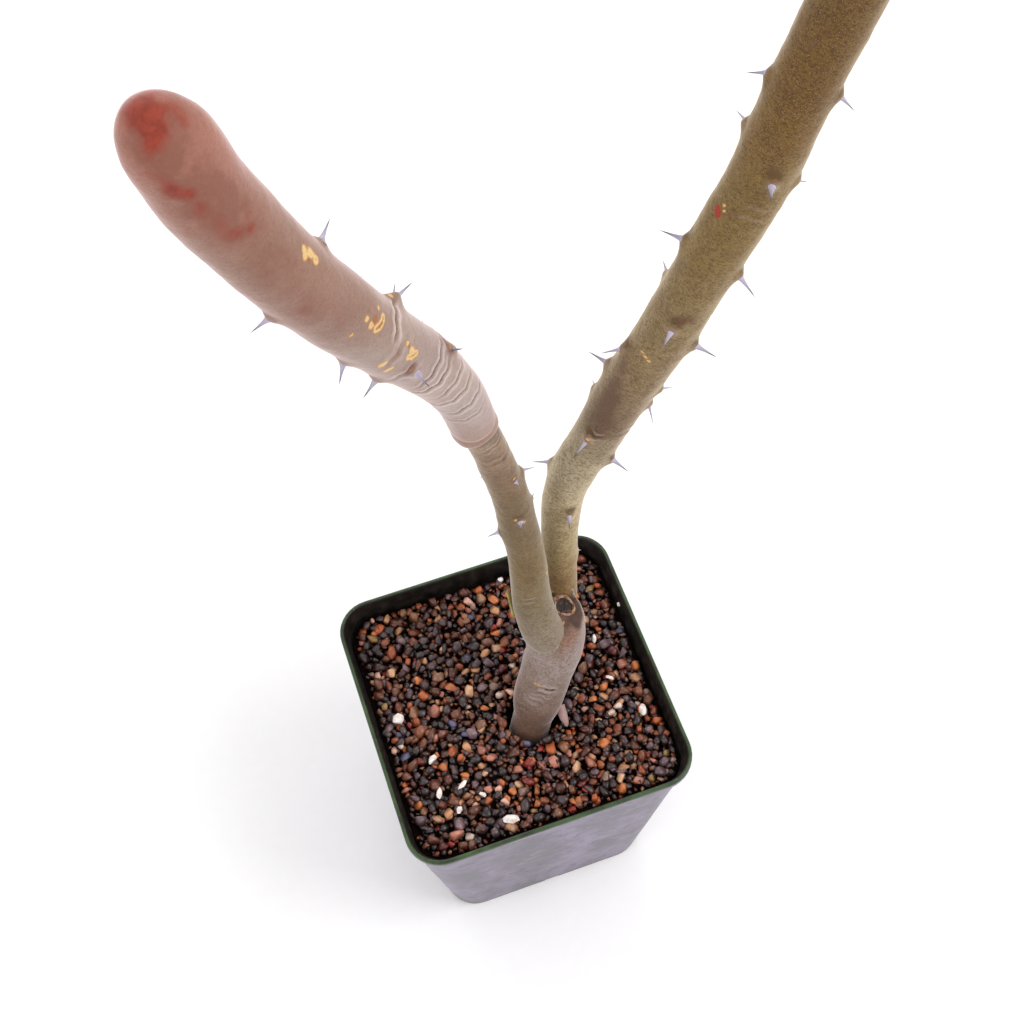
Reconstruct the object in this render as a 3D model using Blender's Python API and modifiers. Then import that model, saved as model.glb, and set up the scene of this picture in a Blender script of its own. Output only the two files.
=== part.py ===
"""Potted alluaudia: a spiny two-stemmed cutting growing in a square nursery pot.

Metres, +Z up. The origin is the centre of the pot's underside.
"""

import math
import random

import bmesh
import bpy
from mathutils import Matrix, Vector

MM = 0.001
GAP = 0.3  # clearance between neighbouring solids

# Pot, in millimetres
POT_HEIGHT = 89.0
RIM_HALF = 44.1
RIM_BAND = 2.8
WALL_TOP_HALF = 43.3
BASE_HALF = 34.1
CORNER_RADIUS = 10.0
WALL = 1.15
FLOOR = 1.6
DRAIN_RADIUS = 4.0
DRAIN_OFFSET = 21.0
NOTCH_WIDTH = 5.0
NOTCH_HEIGHT = 1.2

# Potting mix and gravel, in millimetres
SOIL_TOP = 77.2
GRAVEL_BOTTOM = 77.5
GRAVEL_TOP = 82.5
PEBBLE_PITCH = 6.0
PEBBLE_SPAN = (2.9, 4.0)
PEBBLE_HEIGHT = (1.8, 2.6)
PEBBLE_SINK = 0.3
PEBBLE_SEED = 11

# Centre lines, base to top: x, y, z and radius at each station, in millimetres
TRUNK_LINE = (
    (-7.0, -18.0, 38.0, 7.2),
    (-4.5, -15.5, 56.0, 7.4),
    (-0.5, -11.8, 70.0, 7.6),
    (3.1, -8.4, 80.0, 7.7),
    (7.1, -4.4, 89.0, 7.6),
    (11.3, -0.9, 98.0, 7.7),
    (15.3, 2.6, 106.0, 8.1),
    (17.7, 5.7, 112.5, 7.5),
    (19.1, 8.1, 117.0, 5.9),
    (19.8, 9.4, 119.3, 3.9),
)
LEFT_STEM_LINE = (
    (13.1, 2.0, 107.0, 4.6),
    (12.8, 2.4, 109.0, 5.9),
    (12.0, 3.3, 113.0, 6.2),
    (10.7, 5.2, 120.0, 5.9),
    (9.9, 8.0, 131.0, 5.5),
    (10.2, 11.4, 146.0, 5.2),
    (9.3, 14.4, 159.0, 5.2),
    (7.9, 16.6, 174.0, 5.0),
    (5.6, 17.5, 187.0, 4.7),
    (2.9, 17.4, 200.5, 4.6),
    (0.4, 16.4, 211.0, 4.6),
    (-0.3, 16.1, 213.5, 4.6),
)
LEFT_TIP_LINE = (
    (0.2, 16.3, 210.6, 5.6),
    (-0.6, 16.0, 214.5, 5.7),
    (-3.4, 14.9, 228.0, 6.0),
    (-8.0, 13.5, 240.5, 6.5),
    (-13.3, 11.8, 251.5, 7.1),
    (-24.9, 9.2, 272.5, 7.8),
    (-35.0, 8.7, 292.5, 8.2),
    (-43.5, 9.6, 312.5, 8.5),
    (-47.2, 11.1, 324.2, 8.4),
)
RIGHT_STEM_LINE = (
    (18.7, 9.3, 108.5, 4.6),
    (20.1, 12.8, 116.0, 5.2),
    (21.6, 17.0, 130.0, 5.2),
    (23.2, 20.8, 144.0, 5.3),
    (25.2, 23.0, 155.0, 5.8),
    (29.1, 24.3, 165.0, 6.2),
    (34.2, 24.8, 175.0, 6.4),
    (42.8, 25.0, 194.0, 6.9),
    (51.4, 24.9, 211.5, 7.1),
    (61.9, 25.3, 236.0, 7.2),
    (71.4, 25.8, 259.0, 7.35),
    (77.8, 26.7, 280.0, 7.4),
    (84.9, 27.6, 301.0, 7.5),
    (90.3, 28.0, 318.0, 7.4),
    (94.0, 28.3, 331.0, 7.0),
)
APEX_LENGTH = 12.5  # rounded growing point beyond the last station

# Spines: rows of azimuth in degrees, first height, pitch in mm and count
SPINE_PROFILE = ((0.0, 5.8), (0.24, 3.9), (0.62, 1.7), (1.5, 0.1), (1.3, -1.5), (0.0, -1.5))
SPINE_SIDES = 5
SPINE_DROOP = 14.0
SPINE_SEED = 7
RIGHT_ROWS = (
    (-45.0, 171.5, 21.6, 8),
    (-96.0, 151.0, 56.0, 1),
    (-107.0, 263.0, 56.0, 2),
    (-138.0, 178.0, 40.0, 2),
    (165.0, 206.0, 38.0, 1),
    (156.0, 282.0, 38.0, 2),
    (134.0, 161.0, 37.5, 3),
    (119.0, 187.0, 39.5, 4),
    (-14.0, 198.0, 104.0, 2),
    (38.0, 152.0, 24.0, 8),
    (62.0, 164.0, 24.0, 7),
    (86.0, 145.0, 28.0, 7),
)
LEFT_STEM_ROWS = (
    (-90.0, 169.0, 20.0, 1),
    (180.0, 161.0, 20.0, 1),
    (3.0, 168.0, 15.0, 2),
    (74.0, 138.0, 21.0, 3),
    (104.0, 149.0, 21.0, 3),
    (142.0, 181.0, 20.0, 1),
)
LEFT_TIP_ROWS = (
    (-149.0, 256.0, 11.5, 2),
    (-152.0, 289.0, 16.0, 1),
    (-78.0, 257.0, 16.0, 1),
    (-4.0, 246.0, 16.0, 1),
    (18.0, 291.0, 16.0, 1),
    (34.0, 263.0, 22.0, 1),
    (76.0, 243.0, 23.0, 3),
    (104.0, 255.0, 23.0, 3),
)
TRUNK_ROWS = ((178.0, 98.0, 4.5, 2),)

ROUND_SIDES = 16
STATION_STEPS = 3


def clear_scene():
    for item in list(bpy.data.objects):
        bpy.data.objects.remove(item, do_unlink=True)


def make_collection(name):
    found = bpy.data.collections.get(name)
    if found is None:
        found = bpy.data.collections.new(name)
        bpy.context.scene.collection.children.link(found)
    return found


def make_material(name, color, roughness):
    material = bpy.data.materials.new(name)
    material.use_nodes = True
    shader = material.node_tree.nodes["Principled BSDF"]
    shader.inputs["Base Color"].default_value = (*color, 1.0)
    shader.inputs["Roughness"].default_value = roughness
    shader.inputs["Metallic"].default_value = 0.0
    return material


def mesh_object(name, mesh, collection):
    item = bpy.data.objects.new(name, mesh)
    collection.objects.link(item)
    return item


def from_bmesh(name, bm, collection):
    bmesh.ops.recalc_face_normals(bm, faces=bm.faces)
    mesh = bpy.data.meshes.new(name)
    bm.to_mesh(mesh)
    bm.free()
    return mesh_object(name, mesh, collection)


def apply_modifiers(item):
    depsgraph = bpy.context.evaluated_depsgraph_get()
    depsgraph.update()
    evaluated = item.evaluated_get(depsgraph)
    mesh = bpy.data.meshes.new_from_object(evaluated)
    item.modifiers.clear()
    item.data = mesh


def boolean(item, other, operation):
    modifier = item.modifiers.new(operation.title(), "BOOLEAN")
    modifier.operation = operation
    modifier.solver = "EXACT"
    modifier.object = other
    apply_modifiers(item)


def union_collection(item, collection):
    modifier = item.modifiers.new("Repeats", "BOOLEAN")
    modifier.operation = "UNION"
    modifier.solver = "EXACT"
    modifier.operand_type = "COLLECTION"
    modifier.collection = collection
    apply_modifiers(item)
    for repeat in list(collection.objects):
        bpy.data.objects.remove(repeat, do_unlink=True)
    bpy.data.collections.remove(collection)


def as_guide(item):
    item.hide_render = True
    item.display_type = "WIRE"
    return item


def finish(item, material, angle=35.0):
    item.data.materials.clear()
    item.data.materials.append(material)
    item.data.shade_smooth()
    item.data.set_sharp_from_angle(angle=math.radians(angle))
    return item


# Square tapered blocks with rounded upright corners
def tapered_block(name, half_low, half_high, low, high, radius, collection):
    bm = bmesh.new()
    bmesh.ops.create_cube(bm, size=2.0)
    for vert in bm.verts:
        upper = vert.co.z > 0.0
        half = half_high if upper else half_low
        vert.co.x = math.copysign(half * MM, vert.co.x)
        vert.co.y = math.copysign(half * MM, vert.co.y)
        vert.co.z = (high if upper else low) * MM
    upright = [edge for edge in bm.edges if abs(edge.verts[0].co.z - edge.verts[1].co.z) > MM]
    bmesh.ops.bevel(
        bm,
        geom=upright,
        offset=radius * MM,
        offset_type="OFFSET",
        segments=6,
        profile=0.5,
        affect="EDGES",
    )
    return from_bmesh(name, bm, collection)


def wall_half(height, inset):
    """Half width of the tapered wall at a height, less an inset."""
    slope = (WALL_TOP_HALF - BASE_HALF) / POT_HEIGHT
    return BASE_HALF + slope * height - inset


def inside_block(name, low, high, clearance, cutters):
    """The space inside the pot between two heights, less a clearance."""
    inset = WALL + clearance
    radius = CORNER_RADIUS - inset
    low_half = wall_half(low, inset)
    high_half = wall_half(high, inset)
    return tapered_block(name, low_half, high_half, low, high, radius, cutters)


# Routes and tubes
def catmull(p0, p1, p2, p3, t):
    values = []
    for a, b, c, d in zip(p0, p1, p2, p3):
        cubic = -a + 3.0 * b - 3.0 * c + d
        square = 2.0 * a - 5.0 * b + 4.0 * c - d
        values.append(0.5 * (2.0 * b + (c - a) * t + square * t * t + cubic * t ** 3))
    return tuple(values)


def smooth_route(line, steps=STATION_STEPS):
    """A smooth run of (x, y, z, radius) through the stations of a line."""
    first = tuple(2.0 * a - b for a, b in zip(line[0], line[1]))
    last = tuple(2.0 * a - b for a, b in zip(line[-1], line[-2]))
    stations = (first, *line, last)
    route = []
    for index in range(1, len(stations) - 2):
        for step in range(steps):
            quad = stations[index - 1:index + 3]
            route.append(catmull(*quad, step / steps))
    route.append(line[-1])
    return route


def add_apex(route, length):
    """Close a route with a rounded growing point."""
    end = Vector(route[-1][:3])
    radius = route[-1][3]
    along = (end - Vector(route[-4][:3])).normalized()
    closed = list(route)
    for share in (0.35, 0.62, 0.82, 0.94, 0.995):
        point = end + along * length * share
        closed.append((*point, radius * math.sqrt(1.0 - share * share)))
    return closed


def tube(name, route, collection, fatten=0.0):
    """A round-sectioned closed solid that follows a route."""
    curve = bpy.data.curves.new(name, "CURVE")
    curve.dimensions = "3D"
    curve.bevel_depth = MM
    curve.bevel_resolution = (ROUND_SIDES - 4) // 2
    curve.use_fill_caps = True
    spline = curve.splines.new("POLY")
    spline.points.add(len(route) - 1)
    for point, station in zip(spline.points, route):
        point.co = (station[0] * MM, station[1] * MM, station[2] * MM, 1.0)
        point.radius = station[3] + fatten
    guide = bpy.data.objects.new(name + "_route", curve)
    collection.objects.link(guide)
    depsgraph = bpy.context.evaluated_depsgraph_get()
    depsgraph.update()
    mesh = bpy.data.meshes.new_from_object(guide.evaluated_get(depsgraph))
    bpy.data.objects.remove(guide, do_unlink=True)
    bm = bmesh.new()
    bm.from_mesh(mesh)
    bpy.data.meshes.remove(mesh)
    bmesh.ops.remove_doubles(bm, verts=bm.verts, dist=0.00001)
    return from_bmesh(name, bm, collection)


def extend(route, before, after):
    """The same route with its two ends carried straight on."""
    start = Vector(route[0][:3])
    end = Vector(route[-1][:3])
    backward = (start - Vector(route[1][:3])).normalized() * before
    forward = (end - Vector(route[-2][:3])).normalized() * after
    head = (*(start + backward), route[0][3])
    tail = (*(end + forward), route[-1][3])
    longer = list(route)
    if before > 0.0:
        longer.insert(0, head)
    if after > 0.0:
        longer.append(tail)
    return longer


# Spines
def spine_mesh():
    """One spine, turned from its profile and standing on +Z."""
    mesh = bpy.data.meshes.new("spine_profile")
    points = [(x * MM, 0.0, z * MM) for x, z in SPINE_PROFILE]
    edges = [(i, i + 1) for i in range(len(points) - 1)]
    mesh.from_pydata(points, edges, [])
    item = mesh_object("spine_profile", mesh, bpy.context.scene.collection)
    screw = item.modifiers.new("Turn", "SCREW")
    screw.steps = SPINE_SIDES
    screw.render_steps = SPINE_SIDES
    screw.use_merge_vertices = True
    screw.merge_threshold = 0.00001
    apply_modifiers(item)
    turned = item.data
    bpy.data.objects.remove(item, do_unlink=True)
    return turned


def station_at(route, height):
    """Point, direction and radius where a route passes a height."""
    for low, high in zip(route, route[1:]):
        if low[2] <= height <= high[2]:
            share = (height - low[2]) / (high[2] - low[2])
            here = Vector(low[:3]).lerp(Vector(high[:3]), share)
            along = (Vector(high[:3]) - Vector(low[:3])).normalized()
            return here, along, low[3] + (high[3] - low[3]) * share
    raise ValueError("height lies outside the route")


def spine_matrix(route, height, azimuth, scale, droop):
    """Placement of a spine on the skin of a stem."""
    here, along, radius = station_at(route, height)
    level = Vector((math.cos(azimuth), math.sin(azimuth), 0.0))
    outward = (level - along * level.dot(along)).normalized()
    seat = (here + outward * (radius - 0.12)) * MM
    lean = (outward * math.cos(droop) - along * math.sin(droop)).normalized()
    turn = lean.to_track_quat("Z", "X").to_matrix().to_4x4()
    return Matrix.Translation(seat) @ turn @ Matrix.Scale(scale, 4)


def add_spines(item, route, rows, mesh, seed):
    """Stand rows of spines on a stem and fuse them into it."""
    draw = random.Random(seed)
    group = make_collection(item.name + "_spines")
    for row, (azimuth, first, pitch, count) in enumerate(rows):
        for step in range(count):
            height = first + pitch * step + draw.uniform(-0.5, 0.5)
            angle = math.radians(azimuth + draw.uniform(-3.0, 3.0))
            scale = draw.uniform(0.88, 1.06)
            droop = math.radians(SPINE_DROOP + draw.uniform(-8.0, 8.0))
            spine = mesh_object(f"{item.name}_spine_{row}_{step}", mesh, group)
            spine.matrix_world = spine_matrix(route, height, angle, scale, droop)
    union_collection(item, group)


# Pieces
def build_pot(parts, cutters):
    body = tapered_block(
        "pot", BASE_HALF, WALL_TOP_HALF, 0.0, POT_HEIGHT, CORNER_RADIUS, parts
    )
    lip_low = POT_HEIGHT - RIM_BAND
    lip = tapered_block(
        "pot_lip", RIM_HALF, RIM_HALF, lip_low, POT_HEIGHT, CORNER_RADIUS + 0.6, cutters
    )
    boolean(body, as_guide(lip), "UNION")
    hollow = inside_block("pot_hollow", FLOOR, POT_HEIGHT + 2.0, 0.0, cutters)
    boolean(body, as_guide(hollow), "DIFFERENCE")
    cut_drains(body, cutters)
    edge = body.modifiers.new("SoftEdges", "BEVEL")
    edge.width = 0.25 * MM
    edge.segments = 1
    edge.limit_method = "ANGLE"
    edge.angle_limit = math.radians(60.0)
    apply_modifiers(body)
    return body


def cut_drains(body, cutters):
    """Four round holes in the floor and a low notch under each wall."""
    for side_x in (-1, 1):
        for side_y in (-1, 1):
            bm = bmesh.new()
            bmesh.ops.create_cone(
                bm,
                cap_ends=True,
                segments=16,
                radius1=DRAIN_RADIUS * MM,
                radius2=DRAIN_RADIUS * MM,
                depth=4.0 * FLOOR * MM,
            )
            hole = from_bmesh(f"drain_{side_x}_{side_y}", bm, cutters)
            hole.location = (side_x * DRAIN_OFFSET * MM, side_y * DRAIN_OFFSET * MM, 0.0)
            boolean(body, as_guide(hole), "DIFFERENCE")
    for quarter in range(4):
        bm = bmesh.new()
        bmesh.ops.create_cube(bm, size=1.0)
        size = Vector((NOTCH_WIDTH, 9.0, 2.0 * NOTCH_HEIGHT)) * MM
        bmesh.ops.scale(bm, vec=size, verts=bm.verts)
        notch = from_bmesh(f"notch_{quarter}", bm, cutters)
        angle = quarter * math.pi / 2.0
        reach = (BASE_HALF - 2.0) * MM
        notch.location = (reach * math.sin(angle), -reach * math.cos(angle), 0.0)
        notch.rotation_euler = (0.0, 0.0, angle)
        boolean(body, as_guide(notch), "DIFFERENCE")


def build_soil(parts, cutters, trunk_hole):
    soil = inside_block("potting_mix", FLOOR + GAP, SOIL_TOP, GAP, parts)
    boolean(soil, trunk_hole, "DIFFERENCE")
    return soil


def pebble_object(name, draw, collection, x, y):
    bm = bmesh.new()
    bmesh.ops.create_icosphere(bm, subdivisions=1, radius=1.0)
    long_way = draw.uniform(*PEBBLE_SPAN)
    short_way = long_way * draw.uniform(0.72, 1.0)
    tall = draw.uniform(*PEBBLE_HEIGHT)
    bmesh.ops.scale(bm, vec=Vector((long_way, short_way, tall)) * MM, verts=bm.verts)
    stone = from_bmesh(name, bm, collection)
    stone.location = (x * MM, y * MM, (GRAVEL_TOP - PEBBLE_SINK) * MM)
    tilt = draw.uniform(-0.25, 0.25)
    stone.rotation_euler = (tilt, draw.uniform(-0.25, 0.25), draw.uniform(0.0, math.pi))
    return stone


def build_gravel(parts, cutters, trunk_hole):
    """Gravel as a layer covered by pebbles in a jittered grid."""
    draw = random.Random(PEBBLE_SEED)
    layer = inside_block("gravel_top_dressing", GRAVEL_BOTTOM, GRAVEL_TOP, GAP, parts)
    stones = make_collection("gravel_stones")
    reach = wall_half(GRAVEL_TOP, WALL + GAP)
    count = int(2.0 * reach / PEBBLE_PITCH)
    start = -0.5 * (count - 1) * PEBBLE_PITCH
    for column in range(count):
        for row in range(count):
            x = start + column * PEBBLE_PITCH + draw.uniform(-1.2, 1.2)
            y = start + row * PEBBLE_PITCH + draw.uniform(-1.2, 1.2)
            pebble_object(f"stone_{column}_{row}", draw, stones, x, y)
    union_collection(layer, stones)
    bound = inside_block("gravel_bound", GRAVEL_BOTTOM - 1.0, GRAVEL_TOP + 6.0, GAP, cutters)
    boolean(layer, as_guide(bound), "INTERSECT")
    boolean(layer, trunk_hole, "DIFFERENCE")
    return layer


def build_plant(parts, cutters, routes):
    spine = spine_mesh()
    trunk = tube("trunk", routes["trunk"], parts)
    add_spines(trunk, routes["trunk"], TRUNK_ROWS, spine, SPINE_SEED)
    left_fat = as_guide(tube("left_stem_space", routes["left_stem"], cutters, GAP))
    boolean(trunk, left_fat, "DIFFERENCE")
    left = tube("left_stem", routes["left_stem"], parts)
    add_spines(left, routes["left_stem"], LEFT_STEM_ROWS, spine, SPINE_SEED + 1)
    tip = tube("left_stem_new_growth", routes["left_tip"], parts)
    add_spines(tip, routes["left_tip"], LEFT_TIP_ROWS, spine, SPINE_SEED + 2)
    socket = extend(routes["left_stem"], 0.0, GAP)
    socket_fat = as_guide(tube("left_stem_socket", socket, cutters, GAP))
    boolean(tip, socket_fat, "DIFFERENCE")
    right = tube("right_stem", routes["right_stem"], parts)
    boolean(right, left_fat, "DIFFERENCE")
    trunk_route = extend(routes["trunk"], 0.0, GAP)
    trunk_fat = as_guide(tube("trunk_space", trunk_route, cutters, GAP))
    boolean(right, trunk_fat, "DIFFERENCE")
    add_spines(right, routes["right_stem"], RIGHT_ROWS, spine, SPINE_SEED + 3)
    bpy.data.meshes.remove(spine)
    return trunk, left, tip, right


def main():
    clear_scene()
    parts = make_collection("potted_alluaudia")
    cutters = make_collection("cutters")
    routes = {
        "trunk": smooth_route(TRUNK_LINE),
        "left_stem": smooth_route(LEFT_STEM_LINE),
        "left_tip": add_apex(smooth_route(LEFT_TIP_LINE), APEX_LENGTH),
        "right_stem": add_apex(smooth_route(RIGHT_STEM_LINE), APEX_LENGTH),
    }
    hole = extend(routes["trunk"], GAP, 0.0)
    trunk_hole = as_guide(tube("trunk_hole", hole, cutters, GAP))
    pot = build_pot(parts, cutters)
    soil = build_soil(parts, cutters, trunk_hole)
    gravel = build_gravel(parts, cutters, trunk_hole)
    trunk, left, tip, right = build_plant(parts, cutters, routes)
    finish(pot, make_material("pot_plastic", (0.24, 0.24, 0.29), 0.5))
    finish(soil, make_material("potting_mix", (0.035, 0.02, 0.014), 0.95))
    finish(gravel, make_material("mixed_gravel", (0.13, 0.075, 0.055), 0.75), 20.0)
    finish(trunk, make_material("trunk_bark", (0.37, 0.29, 0.24), 0.7))
    finish(left, make_material("old_bark", (0.25, 0.19, 0.12), 0.7))
    finish(tip, make_material("new_bark", (0.50, 0.36, 0.30), 0.65))
    finish(right, make_material("olive_bark", (0.28, 0.21, 0.10), 0.65))


main()
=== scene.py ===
"""Potted alluaudia: the looks of a spiny two-stemmed cutting in a square nursery pot.

Lengths in the tables are in millimetres and objects are in metres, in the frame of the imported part.
"""

import math
import random

import bmesh
import bpy
import numpy as np
from bpy.props import FloatProperty, FloatVectorProperty, IntProperty, PointerProperty
from bpy.types import Operator, Panel, PropertyGroup
from mathutils import Matrix, Vector, noise


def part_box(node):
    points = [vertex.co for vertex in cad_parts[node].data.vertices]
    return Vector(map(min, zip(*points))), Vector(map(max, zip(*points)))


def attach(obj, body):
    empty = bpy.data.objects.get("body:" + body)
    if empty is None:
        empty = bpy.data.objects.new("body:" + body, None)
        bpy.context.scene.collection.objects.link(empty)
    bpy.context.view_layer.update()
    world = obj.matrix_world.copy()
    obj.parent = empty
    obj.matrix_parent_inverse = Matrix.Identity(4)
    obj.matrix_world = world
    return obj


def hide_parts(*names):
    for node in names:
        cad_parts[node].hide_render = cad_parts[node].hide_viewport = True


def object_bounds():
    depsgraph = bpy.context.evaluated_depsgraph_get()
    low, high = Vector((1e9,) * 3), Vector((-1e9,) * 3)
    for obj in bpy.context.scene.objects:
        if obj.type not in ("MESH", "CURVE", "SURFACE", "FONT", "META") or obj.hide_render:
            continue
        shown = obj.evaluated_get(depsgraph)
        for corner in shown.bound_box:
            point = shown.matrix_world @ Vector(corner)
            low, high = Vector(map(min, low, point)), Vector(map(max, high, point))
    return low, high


bl_info = {
    "name": "Potted Alluaudia",
    "version": (1, 0, 0),
    "blender": (4, 5, 0),
    "location": "3D View > Sidebar > Alluaudia",
    "description": "Builds a spiny alluaudia cutting with gravel in a square nursery pot",
    "category": "Add Mesh",
}

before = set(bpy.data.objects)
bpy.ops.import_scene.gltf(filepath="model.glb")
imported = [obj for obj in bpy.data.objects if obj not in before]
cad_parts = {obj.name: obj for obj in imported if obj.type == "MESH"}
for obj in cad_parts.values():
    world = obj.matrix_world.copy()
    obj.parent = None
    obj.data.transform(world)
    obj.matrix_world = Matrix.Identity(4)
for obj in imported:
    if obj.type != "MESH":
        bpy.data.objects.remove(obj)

MM = 0.001
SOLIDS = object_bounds()
POT_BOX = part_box("pot")

# Sizes shared with the solids, in millimetres
POT_HEIGHT = 89.0
RIM_BAND = 2.8
WALL_TOP_HALF = 43.3
BASE_HALF = 34.1
CORNER_RADIUS = 10.0
WALL = 1.15
FLOOR = 1.6
DRAIN_RADIUS = 4.0
DRAIN_OFFSET = 21.0
NOTCH_WIDTH = 5.0
NOTCH_HEIGHT = 1.2
GRAVEL_BOTTOM = 77.5
GRAVEL_TOP = 82.5
GAP = 0.3
APEX_LENGTH = 12.5

# Centre lines, base to top: x, y, z and radius
TRUNK_LINE = (
    (-7.0, -18.0, 38.0, 7.2), (-4.5, -15.5, 56.0, 7.4), (-0.5, -11.8, 70.0, 7.6),
    (3.1, -8.4, 80.0, 7.7), (7.1, -4.4, 89.0, 7.6), (11.3, -0.9, 98.0, 7.7),
    (15.3, 2.6, 106.0, 8.1), (17.7, 5.7, 112.5, 7.5), (19.1, 8.1, 117.0, 5.9),
    (19.8, 9.4, 119.3, 3.9),
)
LEFT_STEM_LINE = (
    (13.4, 2.8, 107.5, 3.6), (13.0, 3.1, 110.0, 5.1), (12.1, 3.6, 113.5, 6.0),
    (10.7, 5.2, 120.0, 5.9), (9.9, 8.0, 131.0, 5.5), (10.2, 11.4, 146.0, 5.2),
    (9.3, 14.4, 159.0, 5.2), (7.9, 16.6, 174.0, 5.0), (5.6, 17.5, 187.0, 4.7),
    (2.9, 17.4, 200.5, 4.6), (0.4, 16.4, 211.0, 4.6), (-0.3, 16.1, 213.5, 4.6),
)
NEW_GROWTH_LINE = (
    (0.2, 16.3, 210.6, 5.6), (-0.6, 16.0, 214.5, 5.7), (-3.4, 14.9, 228.0, 6.0),
    (-8.0, 13.5, 240.5, 6.5), (-13.3, 11.8, 251.5, 7.1), (-24.9, 9.2, 272.5, 7.8),
    (-35.0, 8.7, 292.5, 8.2), (-43.5, 9.6, 312.5, 8.5), (-47.2, 11.1, 324.2, 8.4),
)
RIGHT_STEM_LINE = (
    (19.3, 11.1, 108.5, 4.6), (20.7, 14.6, 116.0, 5.2), (21.9, 18.0, 130.0, 5.2),
    (23.2, 20.8, 144.0, 5.3), (25.2, 23.0, 155.0, 5.8), (29.1, 24.3, 165.0, 6.2),
    (34.2, 24.8, 175.0, 6.4), (42.8, 25.0, 194.0, 6.9), (51.4, 24.9, 211.5, 7.1),
    (61.9, 25.3, 236.0, 7.2), (71.4, 25.8, 259.0, 7.35), (77.8, 26.7, 280.0, 7.4),
    (84.9, 27.6, 301.0, 7.5), (90.3, 28.0, 318.0, 7.4), (94.0, 28.3, 331.0, 7.0),
)

# Spines: height on the centre line, azimuth, length, tilt up the stem, swing round it
RIGHT_SPINES = (
    (130.6, -6, 2.6, -45, 30), (152.0, -94, 4.75, -10, -15), (162.1, 140, 5.75, -30, 5),
    (172.8, -48, 6.0, 0, 0), (179.2, -148, 6.5, -45, 0), (187.4, 124, 4.25, -20, -50),
    (192.4, -32, 5.75, -25, -50), (196.2, 134, 6.0, 0, 5), (198.3, -38, 4.5, -5, 50),
    (205.2, 166, 6.0, -35, 0), (214.2, -48, 6.5, 5, 5), (219.2, -130, 5.75, -25, -5),
    (224.5, 116, 5.5, -5, -40), (236.0, -46, 6.5, -20, -5), (237.0, 146, 6.25, 0, 5),
    (261.7, -40, 4.0, -15, 50), (262.6, -110, 6.0, 0, -10), (268.8, 134, 6.25, -15, -50),
    (281.8, 148, 4.5, -15, 10), (283.5, -42, 4.5, -20, 0),
    (152.5, 27, 5.2, -15, 5), (176.5, 28, 5.6, -12, -8), (200.0, 25, 5.8, -16, 6),
    (224.5, 27, 5.9, -10, 4), (248.0, 26, 6.0, -14, -6), (272.5, 28, 5.6, -12, 8),
    (296.0, 27, 5.8, -18, 2), (319.5, 26, 5.0, -10, -4), (164.5, 49, 5.4, -10, 6),
    (188.5, 47, 5.7, -16, -4), (213.0, 46, 5.9, -12, 8), (236.5, 48, 6.0, -15, 0),
    (260.0, 47, 5.8, -10, -8), (284.5, 46, 5.7, -14, 5), (308.0, 48, 5.3, -12, -3),
    (146.0, 70, 4.9, -12, 4), (174.0, 70, 5.3, -16, -6), (201.5, 68, 5.5, -10, 2),
    (229.5, 69, 5.6, -14, 6), (257.5, 68, 5.6, -12, -5), (285.0, 68, 5.4, -16, 3),
    (313.0, 72, 5.2, -10, 0), (312.0, -60, 5.2, -16, 4), (326.5, -62, 4.4, -10, -6),
    (313.5, -108, 5.4, -12, 5), (312.0, -14, 4.0, -14, -3), (309.5, 124, 5.6, -12, 6),
    (322.0, 150, 4.9, -14, -4), (316.0, -164, 5.3, -12, 2), (331.0, -136, 4.2, -8, 0),
)
LEFT_STEM_SPINES = (
    (160.2, 176, 4.0, -25, -15), (168.4, -90, 3.4, 15, -10), (169.1, 4, 2.8, -30, 50),
    (181.6, 4, 5.75, -45, 25), (181.6, 146, 1.8, -20, 0), (184.8, -58, 1.6, -30, 0),
    (138.5, 74, 4.2, -15, 4), (159.0, 76, 4.6, -12, -6), (180.5, 73, 4.4, -16, 5),
    (149.5, 104, 4.4, -12, 3), (170.0, 106, 4.6, -15, -4), (191.5, 103, 4.2, -10, 6),
)
NEW_GROWTH_SPINES = (
    (246.7, -4, 6.0, 40, -35), (256.9, -76, 5.25, 5, 5), (257.8, -146, 5.25, -5, -15),
    (265.2, 26, 5.5, -20, 0), (265.2, 26, 5.5, -25, 50), (268.0, -150, 4.5, -10, 15),
    (288.4, -156, 5.5, -10, -30), (290.0, 20, 5.5, -10, 35),
    (243.5, 76, 5.0, -12, 4), (266.5, 78, 5.4, -15, -5), (289.5, 75, 5.2, -10, 6),
    (255.5, 104, 5.2, -14, 2), (278.5, 106, 5.4, -12, -6), (301.0, 103, 4.8, -16, 4),
)
TRUNK_SPINES = ((99.8, 136, 6.0, -40, -50), (104.1, 150, 5.25, -25, -50))

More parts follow.
